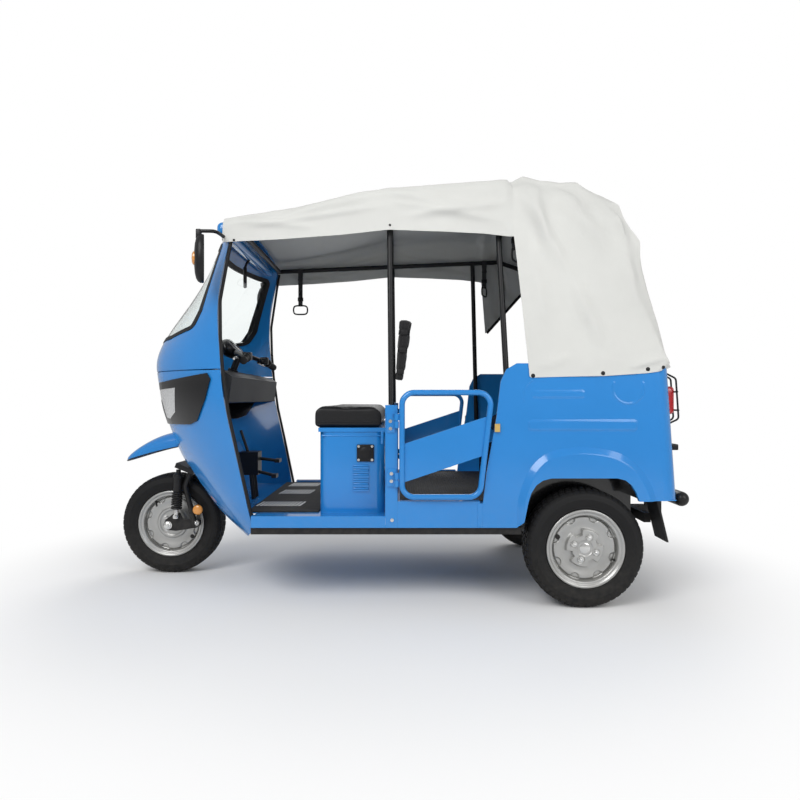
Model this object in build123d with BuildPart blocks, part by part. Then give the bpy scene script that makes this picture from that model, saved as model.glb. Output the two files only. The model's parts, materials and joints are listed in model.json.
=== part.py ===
from build123d import *
import math
import os

# Motor tricycle for passengers: a nose with a windscreen, a driver's bench on a box,
# a passenger tub with two tubular side doors, and a canvas roof on tube bows.
# Row frame: +X forward, +Y to the vehicle's left, +Z up, ground at Z 0. Millimetres.

os.makedirs("parts", exist_ok=True)

# Running gear
WHEELBASE = 1950.0
FRONT_AXLE_X = 1090.0
REAR_TRACK = 1080.0
TYRE_DIAMETER = 505.0
TYRE_WIDTH = 140.0
RIM_DIAMETER = 334.0
RIM_WIDTH = 118.0
BEAD_RADIUS = 151.0
RIM_SHEET = 4.0
HUB_RADIUS = 36.0
STUB_RADIUS = 14.0
STUD_CIRCLE = 104.0
STUD_RADIUS = 8.0
HUB_CAP_RADIUS = 82.0

# Clearances
SEAT_GAP = 0.4
RUNNING_GAP = 0.1

# Steering
RAKE = 22.0
AXLE_BEHIND_AXIS = 15.0
STEM_RADIUS = 17.0
HEAD_TUBE_RADIUS = 26.0
FORK_LEG_RADIUS = 13.0
FORK_LEG_Y = 102.0
LINK_THICKNESS = 8.0
SPRING_RADIUS = 21.0
SPRING_Y = 108.0
BAR_RADIUS = 11.0
BAR_HALF_SPAN = 345.0

# Body
BODY_WIDTH = 1200.0
FLOOR_Z = 385.0
FLOOR_SHEET = 5.0
SILL_BOTTOM_Z = 342.0
SILL_WIDTH = 38.0
MAT_THICKNESS = 6.0
TUB_TOP_Z = 1038.0
POST_FRONT_X = -12.0
POST_REAR_X = -64.0
POST_TOP_Z = 861.0

# Cab
BREAK_Z = 1018.0
PANEL_GAP = 5.0
HEADER_TOP_Z = 1655.0

# Seats
BOX_FRONT_X = 280.0
BOX_REAR_X = -6.0
BOX_HALF_WIDTH = 550.0
BOX_TOP_Z = 742.0
BOX_SHEET = 4.0
LID_THICKNESS = 18.0
DRIVER_CUSHION_HEIGHT = 90.0

# Doors
DOOR_TUBE_RADIUS = 12.0
DOOR_SHEET = 4.0
HINGE_PIN_RADIUS = 5.0
HINGE_EYE_RADIUS = 10.0

# Roof
ROOF_TUBE_RADIUS = 12.5
CANVAS = 4.0
RAIL_Y = 478.0

half_body = BODY_WIDTH / 2
tyre_radius = TYRE_DIAMETER / 2
rear_axle_x = FRONT_AXLE_X - WHEELBASE
rear_wheel_y = REAR_TRACK / 2
rear_end_x = -(FRONT_AXLE_X + tyre_radius)
sides = (1, -1)
side_names = {1: "left", -1: "right"}


def keep(part, name):
    """Label a finished piece and write it as one STEP file."""
    part.label = name
    export_step(part, f"parts/{name}.step")


def bent_tube(points, bends, radius, closed=False):
    """A round tube along straight runs joined by arcs of the given radii."""
    with BuildPart() as tube:
        with BuildLine() as path:
            if closed:
                FilletPolyline(*points, radius=bends[0], close=True)
            else:
                FilletPolyline(*points, radius=list(bends))
        with BuildSketch(Plane(origin=path.line @ 0, z_dir=path.line % 0)):
            Circle(radius)
        sweep()
    return tube.part


def rod(start, end, radius):
    """A straight round bar from one point to another."""
    axis = Vector(*end) - Vector(*start)
    with BuildPart() as bar:
        with BuildSketch(Plane(origin=start, z_dir=axis)):
            Circle(radius)
        extrude(amount=axis.length)
    return bar.part


def side_prism(points, y_low, y_high, grow=0.0):
    """A solid with the given outline in side view (X, Z), grown, between two Y planes."""
    with BuildPart() as prism:
        with BuildSketch(Plane.XZ.offset(-y_high)):
            with BuildLine():
                Polyline(*points, close=True)
            make_face()
            if grow:
                offset(amount=grow, kind=Kind.INTERSECTION, mode=Mode.REPLACE)
        extrude(amount=y_high - y_low)
    return prism.part


def front_prism(points, x_low, x_high):
    """A solid with the given outline in front view (Y, Z), between two X planes."""
    with BuildPart() as prism:
        with BuildSketch(Plane.YZ.offset(x_low)):
            with BuildLine():
                Polyline(*points, close=True)
            make_face()
        extrude(amount=x_high - x_low)
    return prism.part


def block(x_range, y_range, z_range, mode=Mode.ADD):
    """A plain box between two corners, added to the piece being built."""
    x_low, x_high = sorted(x_range)
    y_low, y_high = sorted(y_range)
    z_low, z_high = sorted(z_range)
    with Locations(((x_low + x_high) / 2, (y_low + y_high) / 2, (z_low + z_high) / 2)):
        Box(x_high - x_low, y_high - y_low, z_high - z_low, mode=mode)


# Wheels: one steel disc wheel and one tyre, turned about the axle line.

# Tyre section from bead to crown: (radius, half width) from the axle line.
tyre_section = [
    (BEAD_RADIUS + SEAT_GAP, 50.0),
    (RIM_DIAMETER / 2 + 4, 55.0),
    (205.0, TYRE_WIDTH / 2),
    (238.0, 63.0),
    (tyre_radius - 3, 48.0),
]


def tyre(centre_x, centre_y, centre_z):
    """A road tyre as a solid ring: beads, bulged side walls and a crowned tread."""
    with BuildPart() as ring:
        with BuildSketch(Plane.XY):
            with BuildLine():
                bead, ledge, bulge, shoulder, edge = tyre_section
                Line((-bead[1], bead[0]), (bead[1], bead[0]))
                for s in sides:
                    Line((s * bead[1], bead[0]), (s * ledge[1], ledge[0]))
                    ThreePointArc(
                        (s * ledge[1], ledge[0]), (s * bulge[1], bulge[0]), (s * shoulder[1], shoulder[0])
                    )
                    Line((s * shoulder[1], shoulder[0]), (s * edge[1], edge[0]))
                ThreePointArc((-edge[1], edge[0]), (0, tyre_radius), (edge[1], edge[0]))
            make_face()
        revolve(axis=Axis.X)
    turned = Rot(0, 0, 90) * ring.part
    return Pos(centre_x, centre_y, centre_z) * turned


DISC_OUT = 18.0
DIMPLE_COUNT = 8
DIMPLE_RADIUS = 17.0
DIMPLE_DEPTH = 2.0
HUB_DEPTH = 52.0


def rim(centre_x, centre_y, centre_z, face, bore_depth):
    """A pressed steel wheel: flanged barrel, dished disc with dimples, hub and wheel nuts."""
    flange = RIM_DIAMETER / 2
    half = RIM_WIDTH / 2
    well = BEAD_RADIUS - RIM_SHEET
    with BuildPart() as wheel:
        # Local frame: Z is the axle line and +Z is the outer face.
        with BuildSketch(Plane.XZ):
            with BuildLine():
                Polyline(
                    (well, -half + 6),
                    (BEAD_RADIUS, -half + 6),
                    (flange - 3, -half + 2),
                    (flange, -half + 5),
                    (flange, -half),
                    (flange - 4, -half - 3),
                    (BEAD_RADIUS - 4, -half),
                    (well - 8, -half + 14),
                    (well - 8, half - 14),
                    (BEAD_RADIUS - 4, half),
                    (flange - 4, half + 3),
                    (flange, half),
                    (flange, half - 5),
                    (flange - 3, half - 2),
                    (BEAD_RADIUS, half - 6),
                    (well, half - 6),
                    close=True,
                )
            make_face()
        revolve(axis=Axis.Z)
        with BuildSketch(Plane.XZ):
            with BuildLine():
                Polyline(
                    (0, DISC_OUT + 12),
                    (HUB_RADIUS, DISC_OUT + 12),
                    (HUB_RADIUS + 6, DISC_OUT + 6),
                    (HUB_CAP_RADIUS, DISC_OUT + 6),
                    (HUB_CAP_RADIUS + 7, DISC_OUT - 6),
                    (104, DISC_OUT - 2),
                    (118, DISC_OUT + 6),
                    (132, DISC_OUT + 6),
                    (well - 8 + 0.5, DISC_OUT - 12),
                    (well - 8 + 0.5, DISC_OUT - 17),
                    (130, DISC_OUT + 1),
                    (118, DISC_OUT + 1),
                    (104, DISC_OUT - 7),
                    (HUB_CAP_RADIUS + 5, DISC_OUT - 11),
                    (HUB_CAP_RADIUS - 2, DISC_OUT + 1),
                    (HUB_RADIUS, DISC_OUT + 1),
                    (HUB_RADIUS, DISC_OUT - HUB_DEPTH),
                    (0, DISC_OUT - HUB_DEPTH),
                    close=True,
                )
            make_face()
        revolve(axis=Axis.Z)
        with BuildSketch(Plane.XY.offset(DISC_OUT + 6)):
            with PolarLocations(STUD_CIRCLE / 2, 4, start_angle=25):
                RegularPolygon(STUD_RADIUS + 1.5, 6)
        extrude(amount=9)
        with BuildSketch(Plane.XY.offset(DISC_OUT + 6 - DIMPLE_DEPTH)):
            with PolarLocations(121, DIMPLE_COUNT):
                Circle(DIMPLE_RADIUS)
        extrude(amount=20, mode=Mode.SUBTRACT)
        with BuildSketch(Plane.XY.offset(DISC_OUT - HUB_DEPTH)):
            Circle(STUB_RADIUS + RUNNING_GAP)
        extrude(amount=bore_depth, mode=Mode.SUBTRACT)
    turned = Rot(-90 * face, 0, 0) * wheel.part
    return Pos(centre_x, centre_y, centre_z) * turned


keep(tyre(FRONT_AXLE_X, 0, tyre_radius), "front_tyre")
for s in sides:
    keep(tyre(rear_axle_x, s * rear_wheel_y, tyre_radius), f"{side_names[s]}_tyre")
    keep(rim(rear_axle_x, s * rear_wheel_y, tyre_radius, s, HUB_DEPTH - 10),
         f"{side_names[s]}_wheel")
keep(rim(FRONT_AXLE_X, 0, tyre_radius, 1, HUB_DEPTH + 30), "front_wheel")


# Frame under the floor: two long members, two side rails, cross members and a goose neck.
RAIL_TOP_Z = SILL_BOTTOM_Z - SEAT_GAP
MEMBER_WALL_Y = (215.0, 255.0)
MEMBER_Z = (338.0, FLOOR_Z - FLOOR_SHEET - SEAT_GAP)
MEMBER_REAR_X = -1250.0
MEMBER_FRONT_X = 580.0
CROSS_X = (540.0, -60.0, -570.0)
CROSS_WIDTH = 40.0
GOOSE_RADIUS = 24.0

rake = math.radians(RAKE)
axis_up = Vector(-math.sin(rake), 0, math.cos(rake))
axis_ahead = Vector(math.cos(rake), 0, math.sin(rake))
axle_point = Vector(FRONT_AXLE_X, 0, tyre_radius)
axis_foot = axle_point + axis_ahead * AXLE_BEHIND_AXIS
steer_plane = Plane(origin=axis_foot, x_dir=axis_ahead, z_dir=axis_up)
# Heights along the steering axis, from the point beside the axle.
CROWN_LOW, CROWN_HIGH = 286.0, 310.0
HEAD_LOW, HEAD_HIGH = 330.0, 842.0
STEM_TOP = 912.0
goose_end = axis_foot + axis_up * (HEAD_LOW + 50)

with BuildPart() as chassis_frame:
    for s in sides:
        block((CROSS_X[-1] - CROSS_WIDTH / 2, 556), (s * 548, s * 588), (RAIL_TOP_Z - 30, RAIL_TOP_Z))
        block(
            (MEMBER_REAR_X, MEMBER_FRONT_X), (s * MEMBER_WALL_Y[0], s * MEMBER_WALL_Y[1]), MEMBER_Z
        )
    for x in CROSS_X:
        block((x - CROSS_WIDTH / 2, x + CROSS_WIDTH / 2), (-588, 588), (RAIL_TOP_Z - 30, RAIL_TOP_Z))
    block((-1190, -1160), (-460, 460), MEMBER_Z)
    add(
        bent_tube(
            [(520, 0, 345), (790, 0, 345), (862, 0, 530), (goose_end.X, 0, goose_end.Z)],
            (60, 60), GOOSE_RADIUS,
        )
    )
    add(rod(axis_foot + axis_up * HEAD_LOW, axis_foot + axis_up * HEAD_HIGH, HEAD_TUBE_RADIUS))
    add(
        rod(axis_foot + axis_up * (HEAD_LOW - 10), axis_foot + axis_up * (HEAD_HIGH + 10),
            STEM_RADIUS + RUNNING_GAP),
        mode=Mode.SUBTRACT,
    )
keep(chassis_frame.part, "chassis_frame")

# Floor: the driver's floor, a step up to the passengers' floor, and the blue sills.
STEP_Z = 445.0
SILL_TOP_Z = 391.0
DOOR_SILL_TOP_Z = 454.0
FLOOR_FRONT_X = 611.0
SKIN = 4.0
TUB_FRONT_X = -413.0
WHEELHOUSE_Y = 447.0
TUB_FLOOR_REAR_X = -640.0

with BuildPart() as floor_pan:
    front_floor = (POST_FRONT_X + SEAT_GAP, 556)
    for s in sides:
        # Front sill, a channel open to the inside.
        block(front_floor, (s * (half_body - SKIN), s * half_body), (SILL_BOTTOM_Z, SILL_TOP_Z))
        for z in (SILL_BOTTOM_Z, SILL_TOP_Z - SKIN):
            block(front_floor, (s * (half_body - SILL_WIDTH), s * half_body), (z, z + SKIN))
        # Sill under the side door.
        door_sill = (TUB_FRONT_X + SEAT_GAP, POST_REAR_X - SEAT_GAP)
        block(door_sill, (s * (half_body - SKIN), s * half_body), (SILL_BOTTOM_Z, DOOR_SILL_TOP_Z))
        for z in (SILL_BOTTOM_Z, DOOR_SILL_TOP_Z - SKIN):
            block(door_sill, (s * (half_body - SILL_WIDTH), s * half_body), (z, z + SKIN))
    floor_z = (FLOOR_Z - FLOOR_SHEET, FLOOR_Z)
    block(front_floor, (-(half_body - SKIN), half_body - SKIN), floor_z)
    block((556, FLOOR_FRONT_X), (-478, 478), floor_z)
    post_y = half_body - SILL_WIDTH + SKIN
    block((-72, POST_FRONT_X + SEAT_GAP), (-post_y + 4, post_y - 4), floor_z)
    block((-72, -68), (-post_y + 4, post_y - 4), (FLOOR_Z - FLOOR_SHEET, STEP_Z))
    block((TUB_FRONT_X, -68), (-(half_body - SKIN), half_body - SKIN), (STEP_Z - FLOOR_SHEET, STEP_Z))
    inner = half_body - SKIN - SEAT_GAP
    block((-584, TUB_FRONT_X), (-inner, inner), (STEP_Z - FLOOR_SHEET, STEP_Z))
    inner = WHEELHOUSE_Y - SEAT_GAP
    block((TUB_FLOOR_REAR_X, -584), (-inner, inner), (STEP_Z - FLOOR_SHEET, STEP_Z))
keep(floor_pan.part, "floor_pan")

with BuildPart() as floor_mat:
    block((BOX_FRONT_X + 6, 598), (-476, 476), (FLOOR_Z, FLOOR_Z + MAT_THICKNESS))
keep(floor_mat.part, "floor_mat")

# Door posts with the fixed hinge leaves and their pins.
HINGE_X = -60.0
HINGE_Y = 612.0
HINGE_HEIGHTS = (795.0, 547.0)
HINGE_HALF = 30.0

with BuildPart() as side_posts:
    for s in sides:
        block((POST_REAR_X, POST_FRONT_X), (s * post_y, s * half_body), (SILL_BOTTOM_Z, POST_TOP_Z))
        block((POST_REAR_X + SKIN, POST_FRONT_X - SKIN), (s * (post_y - 1), s * (half_body - SKIN)),
              (SILL_BOTTOM_Z + 50, POST_TOP_Z - SKIN), mode=Mode.SUBTRACT)
        for z in HINGE_HEIGHTS:
            block((-44, -18), (s * half_body, s * (half_body + 5)), (z - HINGE_HALF, z + HINGE_HALF))
            block((HINGE_X, -40), (s * half_body, s * (half_body + 6)), (z - HINGE_HALF, z - 2))
            with Locations((HINGE_X, s * HINGE_Y, z - HINGE_HALF / 2 - 1)):
                Cylinder(HINGE_EYE_RADIUS, HINGE_HALF - 2)
            with Locations((HINGE_X, s * HINGE_Y, z)):
                Cylinder(HINGE_PIN_RADIUS, 2 * HINGE_HALF)
keep(side_posts.part, "side_posts")

# Side doors: a bent tube frame, a slanted sheet panel and the moving hinge eyes.
DOOR_TOP_Z, DOOR_BOTTOM_Z = 926.0, 462.0
DOOR_FRONT_X = -71.0
DOOR_CORNER = 52.0
tube_d = DOOR_TUBE_RADIUS

for s in sides:
    door_path = [
        (DOOR_FRONT_X - tube_d, s * HINGE_Y, DOOR_TOP_Z - tube_d),
        (-462, s * HINGE_Y, DOOR_TOP_Z - tube_d),
        (-410, s * HINGE_Y, DOOR_BOTTOM_Z + tube_d),
        (DOOR_FRONT_X - tube_d, s * HINGE_Y, DOOR_BOTTOM_Z + tube_d),
    ]
    panel = [(-83, 533), (-83, 695), (-452, 817), (-431, 650)]
    with BuildPart() as door:
        add(bent_tube(door_path, (DOOR_CORNER,), tube_d, True))
        y_low, y_high = sorted((s * (HINGE_Y - DOOR_SHEET), s * HINGE_Y))
        add(side_prism(panel, y_low, y_high))
        for z in HINGE_HEIGHTS:
            with Locations((HINGE_X, s * HINGE_Y, z + HINGE_HALF / 2 + 1)):
                Cylinder(HINGE_EYE_RADIUS, HINGE_HALF - 2)
            block((DOOR_FRONT_X - tube_d, HINGE_X), (s * (HINGE_Y - 3), s * (HINGE_Y + 3)),
                  (z + 2, z + HINGE_HALF))
            with Locations((HINGE_X, s * HINGE_Y, z)):
                Cylinder(HINGE_PIN_RADIUS + RUNNING_GAP, 3 * HINGE_HALF, mode=Mode.SUBTRACT)
    keep(door.part, f"door_{side_names[s]}")

# Nose and windscreen cowl: one lofted envelope, cut into panels at the break line.
# Columns: height, X of the rear edge, half width there, X at the shoulder, X at the centre.
SHOULDER_Y = 300.0
lower_levels = [
    (257.0, 545.0, 512.0, 640.0, 720.0),
    (420.0, 585.0, 542.0, 812.0, 905.0),
    (640.0, 632.0, 551.0, 932.0, 1041.0),
    (830.0, 674.0, 553.0, 1008.0, 1110.0),
    (BREAK_Z - PANEL_GAP, 698.0, 551.0, 1040.0, 1150.0),
]
upper_levels = [
    (BREAK_Z, 699.0, 551.0, 1040.0, 1151.0),
    (1155.0, 709.0, 547.0, 1012.0, 1121.0),
    (1313.0, 712.0, 541.0, 912.0, 1010.0),
    (1547.0, 674.0, 526.0, 788.0, 850.0),
    (HEADER_TOP_Z, 654.0, 512.0, 730.0, 776.0),
]


def cab_solid(levels, inset, rear_extra=0.0, z_extra=0.0):
    """The closed envelope through the levels, moved inward by the inset."""
    last = len(levels) - 1
    with BuildPart() as envelope:
        for i, (z, rear, half, shoulder, centre) in enumerate(levels):
            z_shift = -z_extra if i == 0 else z_extra if i == last else 0
            rear -= rear_extra
            half -= inset
            shoulder -= inset
            centre -= inset
            # The side arcs leave the shoulder bowed outward by a part of their chord.
            chord = Vector(shoulder - rear, SHOULDER_Y - half)
            bow = Vector(-chord.Y, chord.X) * 0.055
            mid = Vector((shoulder + rear) / 2, (SHOULDER_Y + half) / 2) + bow
            with BuildSketch(Plane.XY.offset(z + z_shift)):
                with BuildLine():
                    Line((rear, -half), (rear, half))
                    ThreePointArc((rear, half), (mid.X, mid.Y), (shoulder, SHOULDER_Y))
                    ThreePointArc((shoulder, SHOULDER_Y), (centre, 0), (shoulder, -SHOULDER_Y))
                    ThreePointArc((shoulder, -SHOULDER_Y), (mid.X, -mid.Y), (rear, -half))
                make_face()
        loft()
    return envelope.part


wheel_opening = [
    (-300, 200), (-300, 452), (-262, 560), (-150, 632), (150, 632), (262, 560), (300, 452), (300, 200),
]
firewall_top = [
    (FLOOR_FRONT_X + SEAT_GAP, FLOOR_Z - 5), (745, 400), (792, 520), (856, 640), (1100, 640),
    (1100, 636), (859, 636), (796, 519), (748, 396), (FLOOR_FRONT_X + SEAT_GAP, FLOOR_Z - 10),
]
lamp_outline = [
    (1075, 962), (765, 1000), (748, 975), (778, 885), (828, 790), (870, 772), (1075, 766),
]
lens_outline = [(1075, 930), (952, 938), (964, 826), (1010, 792), (1075, 800)]
LAMP_INNER_Y = 205.0
LAMP_PROUD = 9.0

lamp_zone = side_prism(lamp_outline, LAMP_INNER_Y, 640)
lamp_hole = side_prism(lamp_outline, LAMP_INNER_Y - SEAT_GAP, 645, SEAT_GAP)
lens_zone = side_prism(lens_outline, LAMP_INNER_Y + 25, 640)
nose_inner = cab_solid(lower_levels, SKIN, 30, 5)

with BuildPart() as nose_panel:
    add(cab_solid(lower_levels, 0))
    add(nose_inner, mode=Mode.SUBTRACT)
    add(front_prism(wheel_opening, 560, 1300), mode=Mode.SUBTRACT)
    # The lower rear corners of the skirt rise toward the sills.
    add(side_prism([(500, 200), (622, 200), (622, 257), (560, 319), (540, 342), (500, 342)], -700, 700),
        mode=Mode.SUBTRACT)
    firewall = side_prism(firewall_top, -600, 600)
    add(firewall & nose_inner)
    add(lamp_hole, mode=Mode.SUBTRACT)
    add(mirror(lamp_hole, about=Plane.XZ), mode=Mode.SUBTRACT)
    add(rod(axis_foot + axis_up * HEAD_LOW, axis_foot + axis_up * HEAD_HIGH,
            HEAD_TUBE_RADIUS + SEAT_GAP), mode=Mode.SUBTRACT)
keep(nose_panel.part, "nose_panel")

# Windscreen opening in front view, and the same outline drawn in for seal and glass.
screen_opening = [
    (-300, 1166), (0, 1156), (300, 1166), (452, 1200), (470, 1280), (452, 1588), (0, 1604),
    (-452, 1588), (-470, 1280), (-452, 1200),
]
screen_radii = 40.0
SEAL_WIDTH = 20.0


def screen_prism(inset):
    """The windscreen outline as a long prism along X, drawn in by the inset."""
    with BuildPart() as prism:
        with BuildSketch(Plane.YZ.offset(600)):
            with BuildLine():
                FilletPolyline(*screen_opening, radius=screen_radii, close=True)
            make_face()
            if inset:
                offset(amount=-inset, mode=Mode.REPLACE)
        extrude(amount=700)
    return prism.part


# The cap over the windscreen is crowned like the canvas behind it.
CAP_RISE = 42.0
cap_levels = [upper_levels[-1], (1710.0, 646.0, 508.0, 714.0, 754.0)]
cowl_inner = cab_solid(upper_levels, SKIN, 30, 5)


def crowned_cap(inset):
    """The envelope of the cap over the windscreen, moved inward by the inset."""
    cap_z, _, cap_half, _, _ = upper_levels[-1]
    with BuildPart() as crown:
        with BuildSketch(Plane.YZ.offset(500)):
            with BuildLine():
                Line((-cap_half - 4, cap_z - inset), (-cap_half - 4, cap_z - 10 - inset))
                Line((-cap_half - 4, cap_z - 10 - inset), (cap_half + 4, cap_z - 10 - inset))
                Line((cap_half + 4, cap_z - 10 - inset), (cap_half + 4, cap_z - inset))
                ThreePointArc((cap_half + 4, cap_z - inset), (0, cap_z + CAP_RISE - inset),
                              (-cap_half - 4, cap_z - inset))
            make_face()
        extrude(amount=400)
        add(cab_solid(cap_levels, inset, 30 if inset else 0), mode=Mode.INTERSECT)
    return crown.part


with BuildPart() as cowl:
    add(cab_solid(upper_levels, 0))
    add(crowned_cap(0))
    add(cowl_inner, mode=Mode.SUBTRACT)
    add(crowned_cap(SKIN), mode=Mode.SUBTRACT)
    add(cowl_inner, mode=Mode.SUBTRACT)
    add(screen_prism(0), mode=Mode.SUBTRACT)
keep(cowl.part, "cowl")

with BuildPart() as windshield_seal:
    add(cab_solid(upper_levels, -4.0))
    add(cab_solid(upper_levels, 9.0, 30, 5), mode=Mode.SUBTRACT)
    add(screen_prism(SEAT_GAP), mode=Mode.INTERSECT)
    add(screen_prism(SEAL_WIDTH), mode=Mode.SUBTRACT)
keep(windshield_seal.part, "windshield_seal")

with BuildPart() as windshield:
    add(cab_solid(upper_levels, 0.5))
    add(cab_solid(upper_levels, 5.5, 30, 5), mode=Mode.SUBTRACT)
    add(screen_prism(SEAL_WIDTH + SEAT_GAP), mode=Mode.INTERSECT)
keep(windshield.part, "windshield")

# Lamps: a black housing wrapped round each corner, and a lens let into it.
housing_skin = cab_solid(lower_levels, -LAMP_PROUD)
housing_back = cab_solid(lower_levels, 22, 30, 5)
lens_front = cab_solid(lower_levels, -LAMP_PROUD + 2)
lens_back = cab_solid(lower_levels, 6, 30, 5)
lens_back_low = cab_solid(lower_levels, 6 + SEAT_GAP, 30, 5)
with BuildPart() as housing:
    add(housing_skin)
    add(housing_back, mode=Mode.SUBTRACT)
    add(lamp_zone, mode=Mode.INTERSECT)
    add(lens_zone - lens_back_low, mode=Mode.SUBTRACT)
with BuildPart() as lens:
    add(lens_front)
    add(lens_back, mode=Mode.SUBTRACT)
    add(lens_zone, mode=Mode.INTERSECT)
with BuildPart() as lamp_housings:
    add(housing.part)
    add(mirror(housing.part, about=Plane.XZ))
keep(lamp_housings.part, "lamp_housings")
with BuildPart() as lamp_lenses:
    add(lens.part)
    add(mirror(lens.part, about=Plane.XZ))
keep(lamp_lenses.part, "lamp_lenses")

# Rubber edge trim along both rear edges of nose and cowl.
TRIM_RADIUS = 7.0
with BuildPart() as edge_trim:
    for s in sides:
        trim_path = [
            (x - TRIM_RADIUS - 1.5, s * (y - 3), z)
            for z, x, y, _, _ in [
                (354.0, 569.0, 531.0, 0, 0), lower_levels[1], lower_levels[2], lower_levels[3],
                upper_levels[0], upper_levels[1], upper_levels[2], upper_levels[3],
                (1630.0, 658.0, 515.0, 0, 0),
            ]
        ]
        add(bent_tube(trim_path, (120,) * 7, TRIM_RADIUS))
keep(edge_trim.part, "edge_trim")

# Dashboard: a moulded shelf over a face panel, trimmed to the inside of the cab.
dash_outer = [(676, 872), (662, 985), (694, 1006), (800, 1030), (925, 1040), (925, 1035),
              (801, 1025), (696, 1001), (668, 982), (681, 876), (750, 870), (750, 866)]
dash_plan = [(640, -500), (735, -500), (925, -385), (925, 385), (735, 500), (640, 500)]
with BuildPart() as dashboard:
    add(side_prism(dash_outer, -500, 500))
    for s in sides:
        y_low, y_high = sorted((s * 496, s * 500))
        add(side_prism([(676, 872), (662, 985), (694, 1006), (750, 1018), (750, 866)], y_low, y_high))
    add(rod(axis_foot + axis_up * HEAD_LOW, axis_foot + axis_up * (HEAD_HIGH + 60),
            HEAD_TUBE_RADIUS + SEAT_GAP), mode=Mode.SUBTRACT)
    with BuildSketch(Plane.XY.offset(800)):
        with BuildLine():
            Polyline(*dash_plan, close=True)
        make_face()
    extrude(amount=300, mode=Mode.INTERSECT)
keep(dashboard.part, "dashboard")

# Pedal bracket on the floor, with two pedals and a lever.
with BuildPart() as pedals:
    block((632, 726), (48, 132), (508, 622))
    add(rod((655, 60, 389.6), (668, 60, 515), 11))
    add(rod((655, 120, 389.6), (668, 120, 515), 11))
    add(rod((640, 70, 585), (548, 70, 574), 8))
    add(rod((640, 112, 525), (556, 112, 504), 8))
    block((532, 556), (40, 100), (566, 584))
    block((540, 564), (84, 140), (494, 512))
    add(rod((690, 90, 615), (728, 90, 728), 7))
keep(pedals.part, "pedals")

# Mudguard: a beak over the front wheel, carried by the nose.
GUARD_HALF = 104.0
NOSE_ROUND = 467.0
NOSE_FOOT_X, NOSE_FOOT_Z = 1027.3, 600.0
NOSE_SLOPE = 0.395
GUARD_TIP_X = 1330.0
GUARD_SIDE_X = 1240.0
with BuildPart() as mudguard:
    with BuildSketch(Plane.XZ.offset(-GUARD_HALF)):
        with BuildLine():
            Line((GUARD_TIP_X, 566), (GUARD_TIP_X, 580))
            ThreePointArc((GUARD_TIP_X, 580), (1196, 676), (1030, 722))
            Line((1030, 722), (1030, 646))
            ThreePointArc((1030, 646), (1180, 614), (GUARD_TIP_X, 566))
        make_face()
    extrude(amount=2 * GUARD_HALF)
    with BuildSketch(Plane.XY.offset(500)):
        with BuildLine():
            Line((1020, GUARD_HALF), (1020, -GUARD_HALF))
            Line((1020, -GUARD_HALF), (GUARD_SIDE_X, -GUARD_HALF + 12))
            ThreePointArc((GUARD_SIDE_X, -GUARD_HALF + 12), (GUARD_TIP_X, 0), (GUARD_SIDE_X, GUARD_HALF - 12))
            Line((GUARD_SIDE_X, GUARD_HALF - 12), (1020, GUARD_HALF))
        make_face()
    extrude(amount=300, mode=Mode.INTERSECT)
    with BuildSketch(Plane.XZ.offset(-GUARD_HALF + 3 * SKIN)):
        with BuildLine():
            Line((1290, 560), (1290, 596))
            ThreePointArc((1290, 596), (1187, 668), (1010, 715))
            Line((1010, 715), (1010, 560))
            Line((1010, 560), (1290, 560))
        make_face()
    extrude(amount=2 * (GUARD_HALF - 3 * SKIN), mode=Mode.SUBTRACT)
    # The rear end is cut to the round of the nose, along its slope.
    with BuildSketch(Plane.XY.offset(NOSE_FOOT_Z)):
        with Locations((NOSE_FOOT_X + SEAT_GAP - NOSE_ROUND, 0)):
            Circle(NOSE_ROUND)
    extrude(amount=140, dir=(NOSE_SLOPE, 0, 1), mode=Mode.SUBTRACT)
keep(mudguard.part, "mudguard")

# Driver's seat box with louvres, the block inside it, the charging cover and the lid.
box_width = (-BOX_HALF_WIDTH + 55, BOX_HALF_WIDTH - 55)
BOX_FLOOR_Z = FLOOR_Z
LOUVRE_Z = (486.0, 506.0, 526.0, 546.0, 566.0, 586.0)
with BuildPart() as seat_box:
    with BuildSketch(Plane.XY.offset(BOX_FLOOR_Z)):
        with Locations(((BOX_FRONT_X + BOX_REAR_X) / 2, 0)):
            RectangleRounded(BOX_FRONT_X - BOX_REAR_X, 2 * box_width[1], 40)
    extrude(amount=BOX_TOP_Z - BOX_FLOOR_Z)
    with BuildSketch(Plane.XY.offset(BOX_FLOOR_Z)):
        with Locations(((BOX_FRONT_X + BOX_REAR_X) / 2, 0)):
            RectangleRounded(
                BOX_FRONT_X - BOX_REAR_X - 2 * BOX_SHEET, 2 * box_width[1] - 2 * BOX_SHEET,
                40 - BOX_SHEET,
            )
    extrude(amount=BOX_TOP_Z - BOX_FLOOR_Z, mode=Mode.SUBTRACT)
    for s in sides:
        for z in LOUVRE_Z:
            block((62, 132), (s * (box_width[1] - 1), s * (box_width[1] + 6)), (z - 5, z + 3))
keep(seat_box.part, "seat_box")

with BuildPart() as battery:
    block((30, 246), (-440, 440), (FLOOR_Z, 690))
keep(battery.part, "battery")

with BuildPart() as charge_cover:
    block((40, 115), (box_width[1] + SEAT_GAP / 2, box_width[1] + 9), (612, 687))
keep(charge_cover.part, "charge_cover")

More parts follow.
